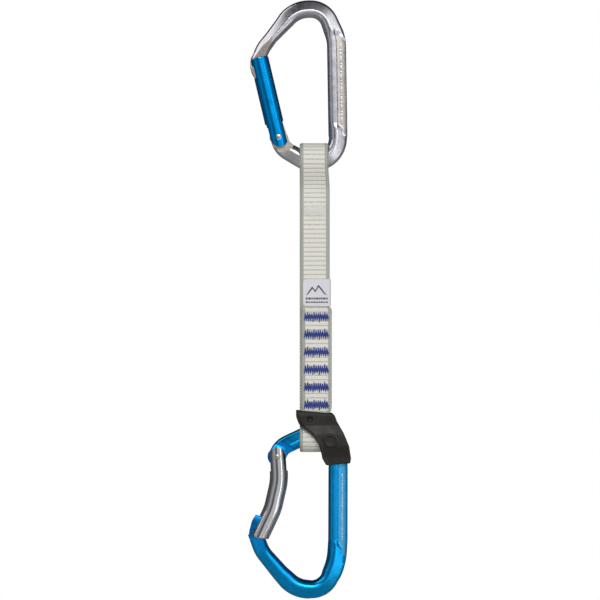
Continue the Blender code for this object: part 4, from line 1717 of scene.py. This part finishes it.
@dataclass(frozen=True)
class Studio:
    """A camera square to the draw's front, soft lights and a pale floor well below."""

    aim: tuple = (-0.0061, 0.0, -0.1557)
    distance: float = 1.84
    lens: float = 200.0
    floor_height: float = -0.665
    floor_radius: float = 1.5
    softboxes: tuple = (
        Softbox("strip_softbox", (1.03, -1.23, 0.1), (0.22, 1.8), 3.0),
        Softbox("left_softbox", (-0.8, -0.35, 0.75), (0.5, 1.1), 2.4),
        Softbox("shoulder_softbox", (0.85, -0.6, 0.7), (0.5, 0.5), 0.5),
        Softbox("front_softbox", (0.1, -1.9, 0.9), (1.2, 0.5), 13.0),
        Softbox("low_left_softbox", (-0.6, -0.7, -0.7), (0.6, 0.6), 2.4),
        Softbox("low_right_softbox", (0.7, -0.6, -0.6), (0.5, 0.5), 1.1),
    )

    def build(self) -> None:
        """Set up the camera, the lights, the surroundings and the floor."""
        scene = bpy.context.scene
        lens = bpy.data.cameras.new("front_camera")
        lens.lens = self.lens
        camera = bpy.data.objects.new("front_camera", lens)
        aim = Vector(self.aim)
        camera.location = aim + Vector((0, -self.distance, 0))
        camera.rotation_euler = (math.radians(90), 0, 0)
        scene.collection.objects.link(camera)
        scene.camera = camera
        for box in self.softboxes:
            light = bpy.data.lights.new(box.name, "AREA")
            light.shape = "RECTANGLE"
            light.size, light.size_y = box.size
            light.energy = box.watts
            item = bpy.data.objects.new(box.name, light)
            item.location = aim + Vector(box.spot)
            item.rotation_euler = Vector(box.spot).to_track_quat("Z", "Y").to_euler()
            scene.collection.objects.link(item)
        self.surround(scene)
        deselect()
        bpy.ops.mesh.primitive_circle_add(vertices=64, radius=self.floor_radius,
                                          fill_type="NGON", location=(0, 0, self.floor_height))
        floor = bpy.context.object
        floor.name = floor.data.name = "studio_floor"
        bpy.ops.object.transform_apply(location=True, rotation=True, scale=True)
        edit(floor)
        bpy.ops.mesh.extrude_region_move(TRANSFORM_OT_translate={"value": (0, 0, -0.01)})
        bpy.ops.object.mode_set(mode="OBJECT")
        close_up(floor)
        wear(floor, Paper().build())
        scene.view_settings.view_transform = "Standard"

    def surround(self, scene: bpy.types.Scene) -> None:
        """Give a white backdrop, and a room for metal to mirror: bright ahead, dark aside.

        Args:
            scene: the scene.
        """
        world = bpy.data.worlds.new("studio_room")
        scene.world = world
        world.use_nodes = True
        tree = world.node_tree
        back = tree.nodes["Background"]
        out = tree.nodes["World Output"]
        where = add_node(tree, "TexCoord").outputs["Generated"]
        parts = add_node(tree, "SeparateXYZ", {0: where})
        ahead = add_node(tree, "MapRange", {"Value": parts.outputs["Y"], 1: -0.95, 2: -0.1,
                                            3: 0.85, 4: 0.12})
        below = add_node(tree, "MapRange", {"Value": parts.outputs["Z"], 1: -0.9, 2: -0.1,
                                            3: 0.6, 4: 0.0})
        height = add_node(tree, "Math", {0: parts.outputs["Z"]}, operation="ABSOLUTE")
        level = add_node(tree, "MapRange", {"Value": height.outputs[0], 1: 0.4, 2: 0.8,
                                            3: 1.0, 4: 0.3})
        # A dark flag left of the camera draws the dark stripe down every polished rod.
        beside = add_node(tree, "Math", {0: parts.outputs["X"], 1: 0.35}, operation="ADD")
        off_flag = add_node(tree, "Math", {0: beside.outputs[0]}, operation="ABSOLUTE")
        flag = add_node(tree, "MapRange", {"Value": off_flag.outputs[0], 1: 0.12, 2: 0.33,
                                           3: 0.15, 4: 1.0})
        lit = add_node(tree, "Math", {0: ahead.outputs[0], 1: flag.outputs[0]},
                       operation="MULTIPLY")
        glow = add_node(tree, "Math", {0: lit.outputs[0], 1: level.outputs[0],
                                       2: below.outputs[0]}, operation="MULTIPLY_ADD")
        tree.links.new(glow.outputs[0], back.inputs["Strength"])
        back.inputs["Color"].default_value = linear("#E9ECF2")
        white = add_node(tree, "Background", {"Color": linear("#FFFFFF"), "Strength": 1.0})
        seen = add_node(tree, "LightPath").outputs["Is Camera Ray"]
        both = add_node(tree, "MixShader", {0: seen, 1: back.outputs[0], 2: white.outputs[0]})
        tree.links.new(both.outputs[0], out.inputs["Surface"])


# ---- the two carabiners and the whole draw -----------------------------------------------------
STEEL = Metal("polished_steel_rivet", "#CFCCC5", "#A8A5A0", 0.28, 0.08, Grain.POLISHED)
SILVER_MILLED = Metal("milled_aluminium_flat", "#C4BBB0", "#A79E94", 0.36, 0.08, Grain.MILLED)


def upper_carabiner() -> Carabiner:
    """Describe the silver carabiner with its straight blue gate."""
    pivot = Pivot(-17.9, -65.7, 1, 13.3)
    forging = Forging(
        name="upper", node="upper_body", pivot=pivot, reach=44.8, key_angle=10.4, heel=5.0,
        route=Route(((-29.6, -24.3, 0, 4.1), (-26.5, -16.8, 16.6, 3.9), (-22.1, -11.0, 0, 3.7),
                     (-16.3, -4.3, 0, 4.4), (-8.7, 4.85, 16.0, 4.85), (7.3, 4.85, 11.0, 4.85),
                     (14.0, -11.6, 22.1, 5.25), (14.75, -58.8, 0, 5.25), (14.85, -65.6, 0, 5.2),
                     (15.3, -89.6, 13.5, 5.0), (-16.0, -71.9, 9.9, 4.8), (-17.8, -65.6, 0, 4.8)),
                    side=1),
        pocket=Pocket(-6.5, -9.5, -60.9, -66.0, marks=(-14.5, -58.0)),
        key_outline=((-28.0, -17.5), (-31.9, -19.6), (-33.5, -23.6), (-33.6, -27.6),
                     (-32.7, -30.9), (-31.2, -33.4)),
        nose_run=((-29.6, -24.3), (-21.0, -10.2)), nose_length=17.0)
    head_start = math.dist(forging.key_outline[-1], (pivot.x, pivot.z))
    gate = GateRod(
        name="upper_gate_rod", node="upper_gate", pivot=pivot, reach=44.8, bore_end=31.0,
        key_angle=10.4, head_start=head_start, cheek=4.95, cheek_shift=0.35,
        route=Route(((-16.2, -75.2, 0, 5.2), (-29.5, -19.0, 0, 5.2))))
    return Carabiner(
        forging=forging, gate=gate, rivet=Rivet("upper_rivet", "upper_gate_rivet", pivot),
        body="upper_carabiner", gate_body="upper_gate_arm",
        spring_node="upper_gate_spring", plunger_node="upper_gate_plunger",
        bright=Metal("polished_forged_aluminium", "#D3D2D6", "#B9B8BD", 0.25, 0.05,
                     Grain.POLISHED),
        pocket=Metal("die_finish_aluminium", "#D6CFC8", "#A8A29C", 0.42, 0.08, Grain.BLASTED),
        milled=SILVER_MILLED,
        marks=Metal("stamped_aluminium_marks", "#D8D4D2", "#BFBAB7", 0.36, 0.06,
                    Grain.BLASTED),
        rod=Metal("blue_anodised_aluminium_rod", "#0697DC", "#0488CC", 0.26, 0.05,
                  Grain.POLISHED),
        steel=STEEL, body_slot="polished_aluminium_body", gate_slot="blue_anodised_gate")


def lower_carabiner() -> Carabiner:
    """Describe the blue carabiner with its polished bent gate."""
    pivot = Pivot(-18.5, -242.0, -1, -2.4)
    forging = Forging(
        name="lower", node="lower_body", pivot=pivot, reach=45.9, key_angle=10.6, heel=5.5,
        route=Route(((-31.9, -281.0, 0, 4.2), (-27.1, -294.4, 19.3, 4.3),
                     (-17.0, -306.3, 0, 4.75), (-8.3, -315.2, 16.6, 5.2),
                     (7.2, -315.5, 11.0, 5.0), (14.0, -300.8, 33.1, 5.4),
                     (14.8, -288.0, 0, 5.35), (14.9, -249.0, 0, 5.3), (14.9, -244.2, 0, 5.2),
                     (14.9, -222.1, 13.5, 4.9), (-16.9, -237.1, 9.9, 4.9),
                     (-18.7, -242.4, 0, 4.8)), side=-1),
        pocket=Pocket(-243.5, -243.5, -290.5, -301.5, marks=(-252.0, -287.0)),
        key_outline=((-29.5, -290.5), (-33.6, -288.9), (-34.4, -285.5), (-34.0, -282.6),
                     (-32.6, -277.5), (-30.5, -274.3)),
        nose_run=((-31.9, -281.0), (-23.5, -297.6)), nose_length=19.0)
    head_start = math.dist(forging.key_outline[-1], (pivot.x, pivot.z))
    gate = GateRod(
        name="lower_gate_rod", node="lower_gate", pivot=pivot, reach=45.9, bore_end=22.0,
        key_angle=10.6, head_start=head_start, cheek=4.55, cheek_shift=0.0,
        route=Route(((-18.95, -231.7, 0, 4.7), (-17.5, -255.0, 33.0, 5.0),
                     (-21.1, -271.0, 33.0, 5.0), (-29.5, -288.8, 0, 5.0))))
    return Carabiner(
        forging=forging, gate=gate, rivet=Rivet("lower_rivet", "lower_gate_rivet", pivot),
        body="lower_carabiner", gate_body="lower_gate_arm",
        spring_node="lower_gate_spring", plunger_node="lower_gate_plunger",
        bright=Metal("blue_anodised_forged_aluminium", "#1AABEE", "#1299DE", 0.28, 0.05,
                     Grain.POLISHED),
        pocket=Metal("blue_anodised_die_finish", "#5CC4F2", "#45B4E8", 0.4, 0.08,
                     Grain.BLASTED),
        milled=Metal("blue_anodised_milled_flat", "#1089D2", "#0B7AC2", 0.34, 0.08,
                     Grain.MILLED),
        marks=Metal("etched_anodised_marks", "#A9D3EE", "#86BCE2", 0.45, 0.06,
                    Grain.BLASTED),
        rod=Metal("polished_aluminium_rod", "#D6D5D3", "#C2C1C0", 0.16, 0.04,
                  Grain.POLISHED),
        steel=STEEL, body_slot="blue_anodised_body", gate_slot="polished_aluminium_gate")


def main() -> None:
    """Load the frame, build the draw piece by piece and light it."""
    logging.basicConfig(level=logging.INFO, format="%(name)s: %(message)s")
    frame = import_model()
    Studio().build()
    for carabiner in (upper_carabiner(), lower_carabiner()):
        carabiner.build(frame)
    Sling().build()
    Keeper().build(frame)
    deselect()


if __name__ == "__main__":
    main()
